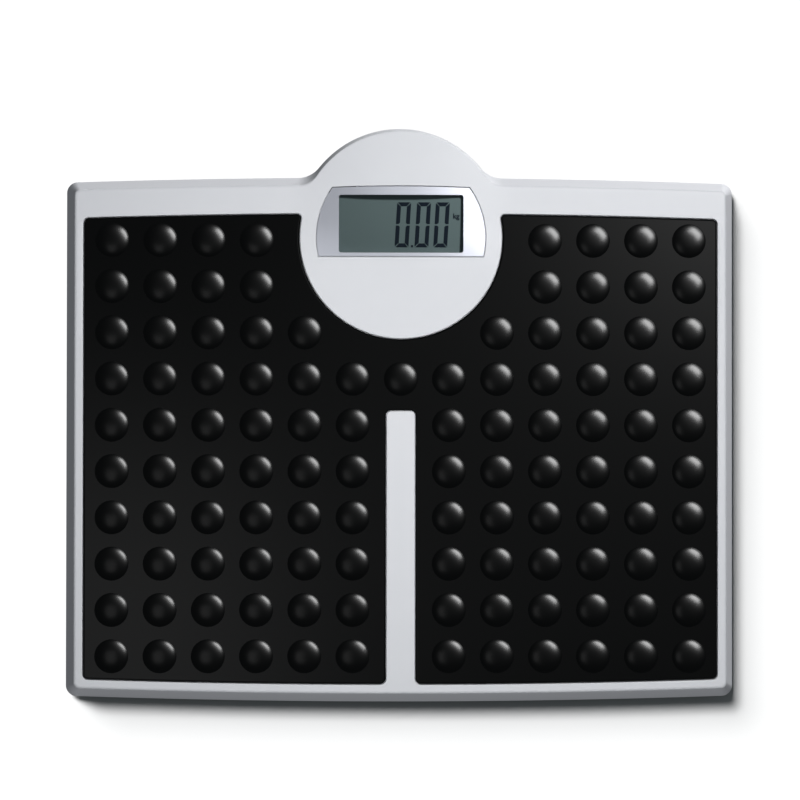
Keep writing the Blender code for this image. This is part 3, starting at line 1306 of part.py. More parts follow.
def battery_leads():
    """From the outer contacts through the case's back wall and up to the board's front edge."""
    radius = LEAD_DIAMETER / 2
    for name, x in zip(("positive", "negative"), lead_xs()):
        wall = CASE_REAR + CASE_WALL
        pad_y = BOARD_FRONT + BOARD_POST_INSET
        top = BOARD_TOP + SEAT_GAP + CABLE_DIAMETER
        cable(f"battery_lead_{name}", [
            (x, CASE_REAR + SEAT_GAP, LEAD_Z),
            (x, wall + CASE_WALL, LEAD_Z),
            (x, pad_y - TOWER_RADIUS - CASE_WALL, LEAD_Z),
            (x, pad_y - TOWER_RADIUS, LEAD_Z),
            (x, pad_y - 2 * CABLE_DIAMETER, top),
            (x, pad_y, BOARD_TOP + SEAT_GAP + radius),
            (x, pad_y, BOARD_TOP + SEAT_GAP),
        ], radius, black_resin())


def build():
    remove_everything()
    plane = display_plane()
    top_housing(plane)
    rubber_mat()
    display_bezel(plane)
    display_stack(plane)
    lcd_ribbon()
    stiffener_plate()
    base_tray()
    for name, (x, y) in FEET.items():
        load_cell(name, x, y)
        foot(name, x, y)
    for index in range(CELL_COUNT):
        battery(index)
    contacts()
    battery_door()
    circuit_board()
    for name, x in BUTTONS.items():
        switch_and_button(name, x)
    screws()
    load_cell_cables()
    battery_leads()


build()
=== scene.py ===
"""Looks of the bathroom scale: the white platform and its display head, the studded rubber mat,
the silver surround, the figures on the display, and the feet, door, screws and keys underneath.
"""

import math

import bpy
from mathutils import Matrix, Vector


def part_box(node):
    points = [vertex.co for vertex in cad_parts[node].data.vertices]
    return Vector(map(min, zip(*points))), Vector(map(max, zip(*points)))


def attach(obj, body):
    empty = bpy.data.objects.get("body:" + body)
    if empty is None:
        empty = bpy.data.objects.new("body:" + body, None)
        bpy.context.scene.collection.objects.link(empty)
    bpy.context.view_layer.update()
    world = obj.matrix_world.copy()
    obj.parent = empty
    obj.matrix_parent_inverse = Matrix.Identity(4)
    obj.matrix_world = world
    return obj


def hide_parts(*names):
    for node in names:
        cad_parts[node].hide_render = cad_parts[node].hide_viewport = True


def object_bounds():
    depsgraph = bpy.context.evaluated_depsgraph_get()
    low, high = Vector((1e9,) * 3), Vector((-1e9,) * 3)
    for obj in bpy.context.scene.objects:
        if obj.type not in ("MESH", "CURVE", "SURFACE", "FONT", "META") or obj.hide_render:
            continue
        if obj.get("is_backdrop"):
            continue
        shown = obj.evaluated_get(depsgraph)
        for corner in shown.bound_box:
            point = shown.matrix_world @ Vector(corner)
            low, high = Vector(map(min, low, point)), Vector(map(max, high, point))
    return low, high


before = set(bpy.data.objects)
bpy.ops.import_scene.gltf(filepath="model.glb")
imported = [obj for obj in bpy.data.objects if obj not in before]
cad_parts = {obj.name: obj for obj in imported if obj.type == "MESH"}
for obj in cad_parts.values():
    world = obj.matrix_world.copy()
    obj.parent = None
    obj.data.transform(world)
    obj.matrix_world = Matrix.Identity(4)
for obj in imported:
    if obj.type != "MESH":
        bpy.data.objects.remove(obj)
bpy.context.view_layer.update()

# Platform, in metres
WIDTH = 0.433
DEPTH = 0.3725
EDGE_BOW = 0.0038
DECK_FRONT = -DEPTH / 2
DECK_REAR = DEPTH / 2 - 0.0318
CORNER_RADIUS = 0.007
DECK_CORNER_RADIUS = 0.0035
SKIRT_BOTTOM = 0.009
LIP_TOP = 0.0102
SKIRT_FLARE = 0.0078
EDGE_ROUND = 0.002
EDGE_SETBACK = 0.0008
DECK_TOP = 0.041
CAVITY_TOP = 0.0349
WALL = 0.0026

# Head
HEAD_RADIUS = 0.0656018
HEAD_Y = 0.1158482
HEAD_STEP = 0.0005
HEAD_SLOPE = 0.041414
HEAD_BLEND = 0.020
SKIRT_HEAD_RADIUS = HEAD_RADIUS + 0.0019
SKIRT_HEAD_Y = DEPTH / 2 - SKIRT_HEAD_RADIUS
HEAD_FILLET = 0.018
DECK_HEAD_FILLET = 0.014
HEAD_WALL = 0.0036
CROWN_WIDTH = 0.073
CROWN_START = 0.080
CROWN_RUN = 0.045
DISPLAY_Y = HEAD_Y - 0.0023
DISPLAY_Z = 0.044188
DISPLAY_RADIUS = 0.0649018
HEAD_FRONT = DISPLAY_Y - DISPLAY_RADIUS

# Mat
RIM_SIDE = 0.0047
RIM_REAR = 0.0173
POCKET_FLOOR = 0.0379
POCKET_ROUND = 0.0005
MAT_BOTTOM = 0.0382
MAT_GAP = 0.0005
MAT_ROUND = 0.0012
MAT_CORNER = 0.0035
MAT_HEAD_CORNER = 0.0032
TONGUE_WIDTH = 0.0182
TONGUE_LENGTH = 0.1757
TONGUE_CORNER = 0.003
TONGUE_FOOT = 0.0042
STUD_RADIUS = 0.0109
STUD_RISE = 0.0025
STUD_FOOT = 0.0003
STUD_CLEARANCE = 0.002
STUD_SIDES = 32
STUD_PITCH_X = 0.0309
STUD_PITCH_Y = 0.02967
FIRST_ROW_Y = 0.11165
STUD_ROWS = 10
STUD_COLUMNS = 13

# Display
WINDOW_WIDTH = 0.0799
WINDOW_DEPTH = 0.0369
WINDOW_CORNER = 0.0014
WINDOW_OFFSET = 0.0087
BEZEL_RADIUS = 0.0543018
BEZEL_BACK_MARGIN = 0.0047
BEZEL_FRONT_MARGIN = 0.0024
BEZEL_THICKNESS = 0.0012
BEZEL_RECESS = 0.0005
BEZEL_BOW = 0.0009
BEZEL_GAP = 0.0005
COLLAR_WALL = 0.0018
SEAT_GAP = 0.0003
SEAT_CHAMFER = 0.00015
BEZEL_CHAMFER = 0.00012
WINDOW_CHAMFER = 0.0002

# How far a cutter stands out of the deck or the underside, and a width that no eye sees
OVER_DECK = 0.01
UNDER_SKIRT = 0.002
HAIR = 0.0001

QUARTER = math.pi / 2


# Materials

def to_linear(hex_colour):
    """An sRGB hex colour as the linear values that a shader takes."""
    channels = [int(hex_colour[i:i + 2], 16) / 255 for i in (0, 2, 4)]
    linear = [c / 12.92 if c <= 0.04045 else ((c + 0.055) / 1.055) ** 2.4 for c in channels]
    return (*linear, 1.0)


def add_node(tree, kind, sockets=None, **settings):
    """A node with its settings; a socket takes a value, or a link from another node's output."""
    made = tree.nodes.new(kind)
    for name, value in settings.items():
        setattr(made, name, value)
    for name, value in (sockets or {}).items():
        if isinstance(value, bpy.types.NodeSocket):
            tree.links.new(value, made.inputs[name])
        else:
            made.inputs[name].default_value = value
    return made


def start_material(name):
    """A new material and its tree."""
    made = bpy.data.materials.new(name)
    made.use_nodes = True
    return made, made.node_tree


def surface(name, colour, shade, roughness, grain, relief, patch=0.03, metallic=0.0, specular=0.5):
    """A finish whose colour drifts a little between two shades from patch to patch, with a fine
    grain in its roughness and relief. Grain, relief and patch are in metres."""
    made, tree = start_material(name)
    shader = tree.nodes["Principled BSDF"]
    place = add_node(tree, "ShaderNodeTexCoord").outputs["Object"]
    drift = add_node(tree, "ShaderNodeTexNoise",
                     {"Vector": place, "Scale": 1 / patch, "Detail": 3.0})
    tint = add_node(tree, "ShaderNodeMix", {"Factor": drift.outputs["Fac"]}, data_type="RGBA")
    tint.inputs[6].default_value = to_linear(colour)
    tint.inputs[7].default_value = to_linear(shade)
    tree.links.new(tint.outputs[2], shader.inputs["Base Color"])
    fine = add_node(tree, "ShaderNodeTexNoise",
                    {"Vector": place, "Scale": 1 / grain, "Detail": 2.0})
    low, high = roughness
    rough = add_node(tree, "ShaderNodeMapRange",
                     {"Value": fine.outputs["Fac"], "To Min": low, "To Max": high})
    tree.links.new(rough.outputs["Result"], shader.inputs["Roughness"])
    bump = add_node(tree, "ShaderNodeBump",
                    {"Height": fine.outputs["Fac"], "Distance": relief, "Strength": 1.0})
    tree.links.new(bump.outputs["Normal"], shader.inputs["Normal"])
    shader.inputs["Metallic"].default_value = metallic
    if metallic == 0.0:
        shader.inputs["Specular IOR Level"].default_value = specular
    return made


# White ABS from a satin mould: even colour, soft broad sheen, a grain too fine to see as dots.
white_abs = surface("white_abs_satin_moulded", "DEDFE3", "DADBE0", (0.38, 0.42), 0.0006, 0.000002)
# Black rubber pressed in a smooth mould: deep black with a dull sheen that shows on the studs.
black_rubber = surface("black_rubber_moulded", "080708", "0C0B0C", (0.27, 0.29), 0.0007, 0.0000015,
                       specular=0.25)
# Grey polystyrene from a spark-textured mould: matt, with an even pebbled grain.
grey_plastic = surface("grey_polystyrene_textured", "B9BBBE", "B2B4B8", (0.5, 0.62), 0.0008,
                       0.00004)
# Dark ABS from the same kind of mould.
dark_plastic = surface("dark_abs_textured", "2B2C2F", "26272A", (0.45, 0.58), 0.0007, 0.00003)
# Zinc-plated steel: bright, slightly mottled.
zinc_steel = surface("zinc_plated_steel", "B9BDC2", "A9ADB4", (0.28, 0.42), 0.0009, 0.000004,
                     patch=0.008, metallic=1.0)
# Printed steel jacket of a cell.
cell_jacket = surface("cell_jacket_printed", "3A4552", "364150", (0.3, 0.38), 0.0012, 0.000003)
# Soft PVC of a cable.
grey_pvc = surface("grey_pvc_extruded", "8C8F93", "85888C", (0.45, 0.55), 0.001, 0.00001)
# Solder mask over woven glass laminate.
green_laminate = surface("green_solder_mask", "1F5B3A", "1B5235", (0.35, 0.45), 0.0009, 0.00001)
# Moulded epoxy and black PVC.
black_resin = surface("black_epoxy_moulded", "17181A", "1B1C1E", (0.45, 0.55), 0.0008, 0.00001)
# Polyimide film with its traces.
amber_film = surface("amber_polyimide_film", "B07A2E", "A56F28", (0.35, 0.42), 0.001, 0.000005)


# Modelling steps

def only(*pieces):
    """Select these pieces alone; the first one is active."""
    bpy.ops.object.select_all(action="DESELECT")
    for piece in pieces:
        piece.select_set(True)
    bpy.context.view_layer.objects.active = pieces[0]


def edit(piece):
    """Go into edit mode with nothing selected."""
    only(piece)
    bpy.ops.object.mode_set(mode="EDIT")
    bpy.ops.mesh.select_all(action="DESELECT")


def done():
    """Leave edit mode."""
    bpy.ops.object.mode_set(mode="OBJECT")


def pick_points(piece, wanted):
    """Select the points whose number is wanted, with the edges between them."""
    done()
    bpy.ops.object.mode_set(mode="EDIT")
    bpy.ops.mesh.select_mode(type="VERT")
    bpy.ops.mesh.select_all(action="DESELECT")
    done()
    for vert in piece.data.vertices:
        vert.select = wanted(vert)
    bpy.ops.object.mode_set(mode="EDIT")


def loft(name, levels):
    """A closed solid through outlines at rising heights. A circle primitive is moved onto the
    first outline, its rim is extruded to each further one, and both ends are filled."""
    count = len(levels[0][0])
    bpy.ops.object.select_all(action="DESELECT")
    bpy.ops.mesh.primitive_circle_add(vertices=count, radius=1.0)
    piece = bpy.context.active_object
    piece.name = name
    outline, height = levels[0]
    for vert, (x, y) in zip(piece.data.vertices, outline):
        vert.co = (x, y, height)
    rim_numbers = {tuple(vert.co): number for number, vert in enumerate(piece.data.vertices)}
    bpy.ops.object.mode_set(mode="EDIT")
    bpy.ops.mesh.select_mode(type="VERT")
    bpy.ops.mesh.select_all(action="SELECT")
    for outline, height in levels[1:]:
        bpy.ops.mesh.extrude_region_move()
        done()
        # The new points come in an order of their own, so each is known by its place.
        rim = [(vert, rim_numbers[tuple(vert.co)]) for vert in piece.data.vertices if vert.select]
        for vert, number in rim:
            vert.co = (*outline[number], height)
        rim_numbers = {tuple(vert.co): number for vert, number in rim}
        bpy.ops.object.mode_set(mode="EDIT")
    bpy.ops.mesh.edge_face_add()
    pick_points(piece, lambda vert: vert.index < count)
    bpy.ops.mesh.edge_face_add()
    bpy.ops.mesh.select_all(action="SELECT")
    bpy.ops.mesh.normals_make_consistent(inside=False)
    done()
    return piece


def join(first, *others):
    """Join pieces into the first one."""
    if others:
        only(first, *others)
        bpy.ops.object.join()
    return first


def discard(*pieces):
    """Delete pieces that were only a pattern or a cutter."""
    for piece in pieces:
        bpy.data.objects.remove(piece, do_unlink=True)


def combine(piece, other, operation):
    """Join another solid to a piece, or take it out of the piece."""
    step = piece.modifiers.new("combine", "BOOLEAN")
    step.operation = operation
    step.solver = "EXACT"
    step.object = other
    only(piece)
    bpy.ops.object.modifier_apply(modifier=step.name)
    discard(other)


def cut(piece, *cutters):
    """Take the cutters out of a piece, one after another."""
    for cutter in cutters:
        combine(piece, cutter, "DIFFERENCE")


def copy_to(piece, name, x, y):
    """A copy with a mesh of its own, moved over the floor."""
    copy = piece.copy()
    copy.name = name
    copy.data = piece.data.copy()
    copy.data.transform(Matrix.Translation((x, y, 0.0)))
    bpy.context.scene.collection.objects.link(copy)
    return copy


def smooth(piece, degrees=32, weighted=True):
    """Smooth shading, apart from edges sharper than the angle. Even normals keep flats flat."""
    only(piece)
    bpy.ops.object.shade_smooth_by_angle(angle=math.radians(degrees))
    if weighted:
        step = piece.modifiers.new("even_normals", "WEIGHTED_NORMAL")
        step.keep_sharp = True
        bpy.ops.object.modifier_apply(modifier=step.name)


def finish_piece(piece, material, body, slot, *nodes):
    """Give a piece its material and body, and hide the CAD nodes that it stands for. The slot is
    not used.
    """
    piece.data.materials.clear()
    piece.data.materials.append(material)
    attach(piece, body)
    if nodes:
        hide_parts(*nodes)


# Outlines, as seen from above

def arc(centre, radius, start, end, steps):
    """Points on an arc from one angle to another, ends included."""
    angles = [start + (end - start) * i / steps for i in range(steps + 1)]
    return [(centre[0] + radius * math.cos(a), centre[1] + radius * math.sin(a)) for a in angles]


def mirrored(right_half):
    """The whole outline of a right half that starts and ends on the middle line."""
    return right_half + [(-x, y) for x, y in reversed(right_half[1:-1])]


def bow_at(x):
    """How far a bowed edge has drawn back at x."""
    return EDGE_BOW * (x / (WIDTH / 2)) ** 2


def bowed_run(start_x, end_x, edge_y, inward):
    """Points between two corners on the bowed front or rear edge, ends left out."""
    parts = 22
    xs = [start_x + (end_x - start_x) * i / parts for i in range(1, parts)]
    return [(x, edge_y + inward * bow_at(x)) for x in xs]


def bowed_corners(half_width, front, rear, radius):
    """The front and the back corner on the right, each an arc that runs on from the bowed edge."""
    centre_x = half_width - radius
    turn = math.atan(2 * EDGE_BOW * centre_x / (WIDTH / 2) ** 2)
    touch_x = centre_x + radius * math.sin(turn)
    front_y = front + bow_at(touch_x) + radius * math.cos(turn)
    rear_y = rear - bow_at(touch_x) - radius * math.cos(turn)
    front_corner = arc((centre_x, front_y), radius, turn - QUARTER, 0, 10)
    rear_corner = arc((centre_x, rear_y), radius, 0, QUARTER - turn, 10)
    return front_corner, rear_corner


def platform_outline(inset=0.0, deck_share=0.0):
    """The platform from its skirt (deck_share 0) to its deck (deck_share 1), drawn in by inset."""
    def between(skirt, deck):
        return skirt + (deck - skirt) * deck_share

    half_width = WIDTH / 2 - SKIRT_FLARE * deck_share - inset
    front = DECK_FRONT + SKIRT_FLARE * deck_share + inset
    rear = DECK_REAR - SKIRT_FLARE * deck_share - inset
    radius = max(between(CORNER_RADIUS, DECK_CORNER_RADIUS) - inset, DECK_CORNER_RADIUS / 2)
    head_radius = between(SKIRT_HEAD_RADIUS, HEAD_RADIUS) - inset
    head_y = between(SKIRT_HEAD_Y, HEAD_Y)
    fillet = between(HEAD_FILLET, DECK_HEAD_FILLET) + inset

    reach = head_radius + fillet
    fillet_x = math.sqrt(reach ** 2 - (rear + fillet - head_y) ** 2)
    fillet_y = rear - bow_at(fillet_x) + fillet
    fillet_x = math.sqrt(reach ** 2 - (fillet_y - head_y) ** 2)
    head_start = math.atan2(fillet_y - head_y, fillet_x)

    front_corner, rear_corner = bowed_corners(half_width, front, rear, radius)
    points = [(0.0, front)]
    points += bowed_run(0.0, front_corner[0][0], front, 1)
    points += front_corner + rear_corner
    points += bowed_run(rear_corner[-1][0], fillet_x, rear, -1)
    points += arc((fillet_x, fillet_y), fillet, -QUARTER, head_start - math.pi, 16)
    points += arc((0.0, head_y), head_radius, head_start, QUARTER, 36)[1:]
    return mirrored(points)


def mat_outline(inset=0.0):
    """The mat's recess, drawn in by inset: it goes round the white strip and the head."""
    half_width = WIDTH / 2 - SKIRT_FLARE - RIM_SIDE - inset
    front = DECK_FRONT + SKIRT_FLARE + RIM_SIDE + inset
    rear = DECK_REAR - SKIRT_FLARE - RIM_REAR - inset
    tongue = TONGUE_WIDTH / 2 + inset
    tongue_top = DECK_FRONT + SKIRT_FLARE + RIM_SIDE + TONGUE_LENGTH + inset
    tongue_corner = TONGUE_CORNER + inset
    foot_corner = TONGUE_FOOT - inset
    display = DISPLAY_RADIUS + inset
    head_corner = MAT_HEAD_CORNER - inset

    corner_x = math.sqrt((display + head_corner) ** 2 - (rear - head_corner - DISPLAY_Y) ** 2)
    corner_y = rear - bow_at(corner_x) - head_corner
    corner_x = math.sqrt((display + head_corner) ** 2 - (corner_y - DISPLAY_Y) ** 2)
    toward_head = math.atan2(corner_y - DISPLAY_Y, corner_x)

    foot_x = tongue + foot_corner
    foot_y = front + bow_at(foot_x) + foot_corner
    front_corner, rear_corner = bowed_corners(half_width, front, rear, MAT_CORNER - inset)
    points = [(0.0, tongue_top)]
    tongue_turn = (tongue - tongue_corner, tongue_top - tongue_corner)
    points += arc(tongue_turn, tongue_corner, QUARTER, 0, 10)
    points += arc((foot_x, foot_y), foot_corner, math.pi, 3 * QUARTER, 10)
    points += bowed_run(foot_x, front_corner[0][0], front, 1)
    points += front_corner + rear_corner
    points += bowed_run(rear_corner[-1][0], corner_x, rear, -1)
    points += arc((corner_x, corner_y), head_corner, QUARTER, math.pi + toward_head, 12)
    points += arc((0.0, DISPLAY_Y), display, toward_head, -QUARTER, 64)[1:]
    return mirrored(points)


def rounded_rectangle(width, depth, centre, radius, steps=6):
    """A rectangle's outline with its four corners as arcs."""
    points = []
    for turn, (side, end) in enumerate([(1, -1), (1, 1), (-1, 1), (-1, -1)]):
        middle = (centre[0] + side * (width / 2 - radius), centre[1] + end * (depth / 2 - radius))
        points += arc(middle, radius, (turn - 1) * QUARTER, turn * QUARTER, steps)
    return points


def bezel_outline(inset=0.0):
    """The surround in the display's plane: a circle cut in front of and behind the window, with a
    slightly bowed back edge."""
    radius = BEZEL_RADIUS - inset
    back = WINDOW_OFFSET + WINDOW_DEPTH / 2 + BEZEL_BACK_MARGIN - inset
    front = WINDOW_OFFSET - WINDOW_DEPTH / 2 - BEZEL_FRONT_MARGIN + inset
    right = arc((0.0, 0.0), radius, math.asin(front / radius), math.asin(back / radius), 30)
    end_x = right[-1][0]
    parts = 24
    shares = [1 - 2 * i / parts for i in range(1, parts)]
    bowed = [(share * end_x, back + BEZEL_BOW * (1 - share ** 2)) for share in shares]
    left = [(-x, y) for x, y in reversed(right)]
    return right + bowed + left


def shifted(outline, dx, dy):
    """An outline moved sideways."""
    return [(x + dx, y + dy) for x, y in outline]


# Housing

def ease(share):
    """A share from 0 to 1 with a soft start and end."""
    share = min(max(share, 0.0), 1.0)
    return share * share * (3 - 2 * share)


def crown(x, y):
    """What share of the head's rise is there: behind the display's front edge it is rounded across,
    highest in the middle, and runs out into the rim."""
    across = max(1 - (abs(x) / CROWN_WIDTH) ** 2.5, 0.0) ** 2
    level = 1 - ease((math.hypot(x, y - HEAD_Y) - HEAD_RADIUS) / HEAD_BLEND)
    return level + (across - level) * ease((y - CROWN_START) / CROWN_RUN)


def head_rise(x, y):
    """How far the head's sloping face stands over the deck."""
    return crown(x, y) * (HEAD_STEP + HEAD_SLOPE * (y - HEAD_FRONT))


def skirt_levels():
    """Share from skirt to deck and height, from the lower lip over the rounded edge. The skirt
    leans so that it runs into the round without a kink, which a few tries settle."""
    centre_z = DECK_TOP - EDGE_ROUND
    lean = 0.0
    for _ in range(4):
        run = SKIRT_FLARE + EDGE_SETBACK - EDGE_ROUND * math.cos(lean)
        lean = math.atan(run / (centre_z + EDGE_ROUND * math.sin(lean) - LIP_TOP))
    levels = [(0.0, SKIRT_BOTTOM), (0.0, LIP_TOP)]
    parts = 8
    for i in range(parts + 1):
        angle = lean + (QUARTER - lean) * i / parts
        inward = SKIRT_FLARE + EDGE_SETBACK - EDGE_ROUND * math.cos(angle)
        levels.append((inward / SKIRT_FLARE, centre_z + EDGE_ROUND * math.sin(angle)))
    return levels


def inner_share(height):
    """Share from skirt to deck of the skirt's straight part at a height."""
    (_, low), (share, high) = skirt_levels()[1:3]
    return share * (height - low) / (high - low)


def inside(x, y, outline):
    """Whether a point lies inside an outline."""
    found = False
    for (ax, ay), (bx, by) in zip(outline, outline[1:] + outline[:1]):
        if (ay > y) != (by > y) and x < ax + (bx - ax) * (y - ay) / (by - ay):
            found = not found
    return found


def slice_faces(piece, point, normal, wanted=None):
    """Bisect a piece along one plane, or only those of its faces that are wanted."""
    edit(piece)
    bpy.ops.mesh.select_mode(type="FACE")
    done()
    for face in piece.data.polygons:
        face.select = wanted is None or wanted(face)
    bpy.ops.object.mode_set(mode="EDIT")
    bpy.ops.mesh.bisect(plane_co=point, plane_no=normal, threshold=0.000001)
    done()


def on_top(face):
    """Whether a face is part of the flat deck."""
    return face.normal.z > 0.99 and face.center.z > DECK_TOP - HAIR


def rounded_edge(radius, outline, top, shares):
    """Outlines and heights of a quarter round; outline is a function of how far it is drawn in."""
    levels = []
    for share in shares:
        angle = share * QUARTER
        drawn_in = radius * (1 - math.cos(angle))
        levels.append((outline(drawn_in), top - radius * (1 - math.sin(angle))))
    return levels


CHAMBER_BOTTOM = 0.030
OPENING_BOTTOM = DECK_TOP - 0.006
OPENING_TOP = DECK_TOP - 0.001
TOP_COLUMNS = 56
TOP_ROWS = 40
TOP_ROW_STEP = 0.003
CEILING_MARGIN = 0.002
CEILING_DEPTH = 0.003

housing = loft("platform_housing", [(platform_outline(0.0, s), z) for s, z in skirt_levels()])
cavity = loft("cavity", [
    (platform_outline(WALL), SKIRT_BOTTOM - UNDER_SKIRT),
    (platform_outline(WALL), LIP_TOP),
    (platform_outline(WALL, inner_share(CAVITY_TOP)), CAVITY_TOP),
])
chamber_wall = arc((0.0, HEAD_Y), HEAD_RADIUS - HEAD_WALL, 0, 2 * math.pi, 64)[:-1]
chamber = loft("chamber", [(chamber_wall, CHAMBER_BOTTOM), (chamber_wall, DECK_TOP - WALL)])
pocket_mouth = mat_outline(-POCKET_ROUND)
pocket = loft("pocket", [
    (mat_outline(), POCKET_FLOOR),
    (mat_outline(), DECK_TOP - POCKET_ROUND),
    *rounded_edge(POCKET_ROUND, lambda out: mat_outline(-out), DECK_TOP, (0.25, 0.5, 0.75)),
    (pocket_mouth, DECK_TOP),
    (pocket_mouth, DECK_TOP + OVER_DECK),
])
seat_outline = shifted(bezel_outline(-BEZEL_GAP), 0.0, DISPLAY_Y)
seat_mouth = shifted(bezel_outline(-BEZEL_GAP - SEAT_CHAMFER), 0.0, DISPLAY_Y)
seat_depth = BEZEL_RECESS + BEZEL_THICKNESS + SEAT_GAP
bezel_seat = loft("bezel_seat", [
    (seat_outline, DECK_TOP - seat_depth),
    (seat_outline, DECK_TOP - SEAT_CHAMFER),
    (seat_mouth, DECK_TOP),
    (seat_mouth, DECK_TOP + OVER_DECK),
])
opening_outline = rounded_rectangle(WINDOW_WIDTH + 2 * (COLLAR_WALL + SEAT_GAP),
                                    WINDOW_DEPTH + 2 * (COLLAR_WALL + SEAT_GAP),
                                    (0.0, DISPLAY_Y + WINDOW_OFFSET), WINDOW_CORNER + COLLAR_WALL)
opening = loft("opening", [(opening_outline, OPENING_BOTTOM), (opening_outline, OPENING_TOP)])
cut(housing, cavity, chamber, pocket, bezel_seat, opening)

# The deck round the head gets a grid of edges, so that it can follow the head's slope.
head_reach = HEAD_RADIUS + HEAD_BLEND
for i in range(TOP_COLUMNS + 1):
    slice_x = -head_reach + 2 * head_reach * i / TOP_COLUMNS
    slice_faces(housing, (slice_x, 0.0, 0.0), (1.0, 0.0, 0.0), on_top)
for i in range(TOP_ROWS):
    slice_faces(housing, (0.0, HEAD_FRONT + TOP_ROW_STEP * i, 0.0), (0.0, 1.0, 0.0), on_top)

recess_edge = mat_outline(-POCKET_ROUND - HAIR)


def rising_range(x, y):
    """Between which heights the housing's points take on the head's rise, at one place."""
    from_display = math.hypot(x, y - DISPLAY_Y)
    if from_display < DISPLAY_RADIUS - CEILING_MARGIN:
        return DECK_TOP - WALL - CEILING_DEPTH, DECK_TOP - WALL - HAIR
    if from_display < DISPLAY_RADIUS + 2 * HAIR or inside(x, y, recess_edge):
        return POCKET_FLOOR, DECK_TOP - POCKET_ROUND
    return LIP_TOP, DECK_TOP


for vert in housing.data.vertices:
    x, y, z = vert.co
    rise = head_rise(x, y)
    if rise != 0.0:
        low, high = rising_range(x, y)
        vert.co.z += min(max((z - low) / (high - low), 0.0), 1.0) * rise
smooth(housing)
finish_piece(housing, white_abs, "platform", "white_moulded_plastic", "top_housing")


# Rubber mat

mat = loft("rubber_mat_studded", [
    (mat_outline(MAT_GAP), MAT_BOTTOM),
    (mat_outline(MAT_GAP), DECK_TOP - MAT_ROUND),
    *rounded_edge(MAT_ROUND, lambda drawn_in: mat_outline(MAT_GAP + drawn_in), DECK_TOP,
                  (0.25, 0.5, 0.75, 1.0)),
])
smooth(mat)
finish_piece(mat, black_rubber, "platform", "black_rubber", "rubber_mat")


def stud_places():
    """Centres of the studs: a grid without what would touch the head or the strip."""
    tongue_top = DECK_FRONT + SKIRT_FLARE + RIM_SIDE + TONGUE_LENGTH
    room = STUD_RADIUS + STUD_CLEARANCE
    places = []
    for row in range(STUD_ROWS):
        y = FIRST_ROW_Y - row * STUD_PITCH_Y
        for column in range(STUD_COLUMNS):
            x = (column - (STUD_COLUMNS - 1) / 2) * STUD_PITCH_X
            by_head = math.hypot(x, y - DISPLAY_Y) < DISPLAY_RADIUS + room
            by_strip = abs(x) < TONGUE_WIDTH / 2 + room and y < tongue_top + room
            if not by_head and not by_strip:
                places.append((x, y))
    return places


def stud_levels():
    """Radius and height over the mat of a dome on a short foot. The dome gets steeper towards
    its edge, and the foot's top is rounded."""
    levels = [(STUD_RADIUS, -STUD_FOOT)]
    for share in (1.0, 0.97, 0.93, 0.86, 0.76, 0.63, 0.47, 0.27):
        dome = (STUD_RISE - STUD_FOOT) * (1 - share ** 2.5)
        levels.append((STUD_RADIUS * share, dome + STUD_FOOT * (1 - share ** 16)))
    return levels


def ring(radius, count):
    """Points of a full circle."""
    return [(radius * math.cos(2 * math.pi * i / count), radius * math.sin(2 * math.pi * i / count))
            for i in range(count)]


stud = loft("stud", [(ring(radius, STUD_SIDES), DECK_TOP + height)
                     for radius, height in stud_levels()])
top_ring = STUD_SIDES * (len(stud_levels()) - 1)
pick_points(stud, lambda vert: vert.index >= top_ring)
bpy.ops.mesh.select_mode(type="FACE")
bpy.ops.mesh.poke(offset=0.0)
done()
peak = min(stud.data.vertices, key=lambda vert: math.hypot(vert.co.x, vert.co.y) - vert.co.z)
peak.co = (0.0, 0.0, DECK_TOP + STUD_RISE)
smooth(stud, degrees=40, weighted=False)
stud_field = join(*[copy_to(stud, "stud", x, y) for x, y in stud_places()])
stud_field.name = "rubber_studs"
discard(stud)
finish_piece(stud_field, black_rubber, "platform", "black_rubber")


# Silver surround, in the display's own tilted plane

TILT = math.atan(HEAD_SLOPE)
display_plane = Matrix.Translation((0.0, DISPLAY_Y, DISPLAY_Z)) @ Matrix.Rotation(TILT, 4, "X")

SURROUND_TOP = -BEZEL_RECESS
COLLAR_TOP = SURROUND_TOP - 0.0008
STRAIGHT_WALL = 0.0005
WINDOW_CUT_BOTTOM = -WALL - 0.002
WINDOW_CUT_TOP = 0.001
SLICE_STEP = 0.0036
SLICE_COLUMNS = 31
SLICE_ROWS = 12
FIRST_SLICE_X = -0.054
FIRST_SLICE_Y = -0.011

# Vacuum-metallised film: cool silver that takes the light of what it faces.
silver_film = surface("silver_film_printed", "C0C2CB", "BBBDC6", (0.42, 0.46), 0.0009, 0.000003,
                      metallic=0.8)
bezel = loft("display_surround", [
    (bezel_outline(), SURROUND_TOP - BEZEL_THICKNESS),
    (bezel_outline(), SURROUND_TOP - BEZEL_CHAMFER),
    (bezel_outline(BEZEL_CHAMFER), SURROUND_TOP),
])
collar_outline = rounded_rectangle(WINDOW_WIDTH + 2 * COLLAR_WALL, WINDOW_DEPTH + 2 * COLLAR_WALL,
                                   (0.0, WINDOW_OFFSET), WINDOW_CORNER + COLLAR_WALL)
combine(bezel, loft("collar", [(collar_outline, -WALL), (collar_outline, COLLAR_TOP)]), "UNION")


def window_outline(widened=0.0):
    """The window's opening, in the display's plane."""
    return rounded_rectangle(WINDOW_WIDTH + 2 * widened, WINDOW_DEPTH + 2 * widened,
                             (0.0, WINDOW_OFFSET), WINDOW_CORNER + widened)


cut(bezel, loft("window", [
    (window_outline(), WINDOW_CUT_BOTTOM),
    (window_outline(), SURROUND_TOP - WINDOW_CHAMFER),
    (window_outline(WINDOW_CHAMFER), SURROUND_TOP),
    (window_outline(WINDOW_CHAMFER), WINDOW_CUT_TOP),
]))

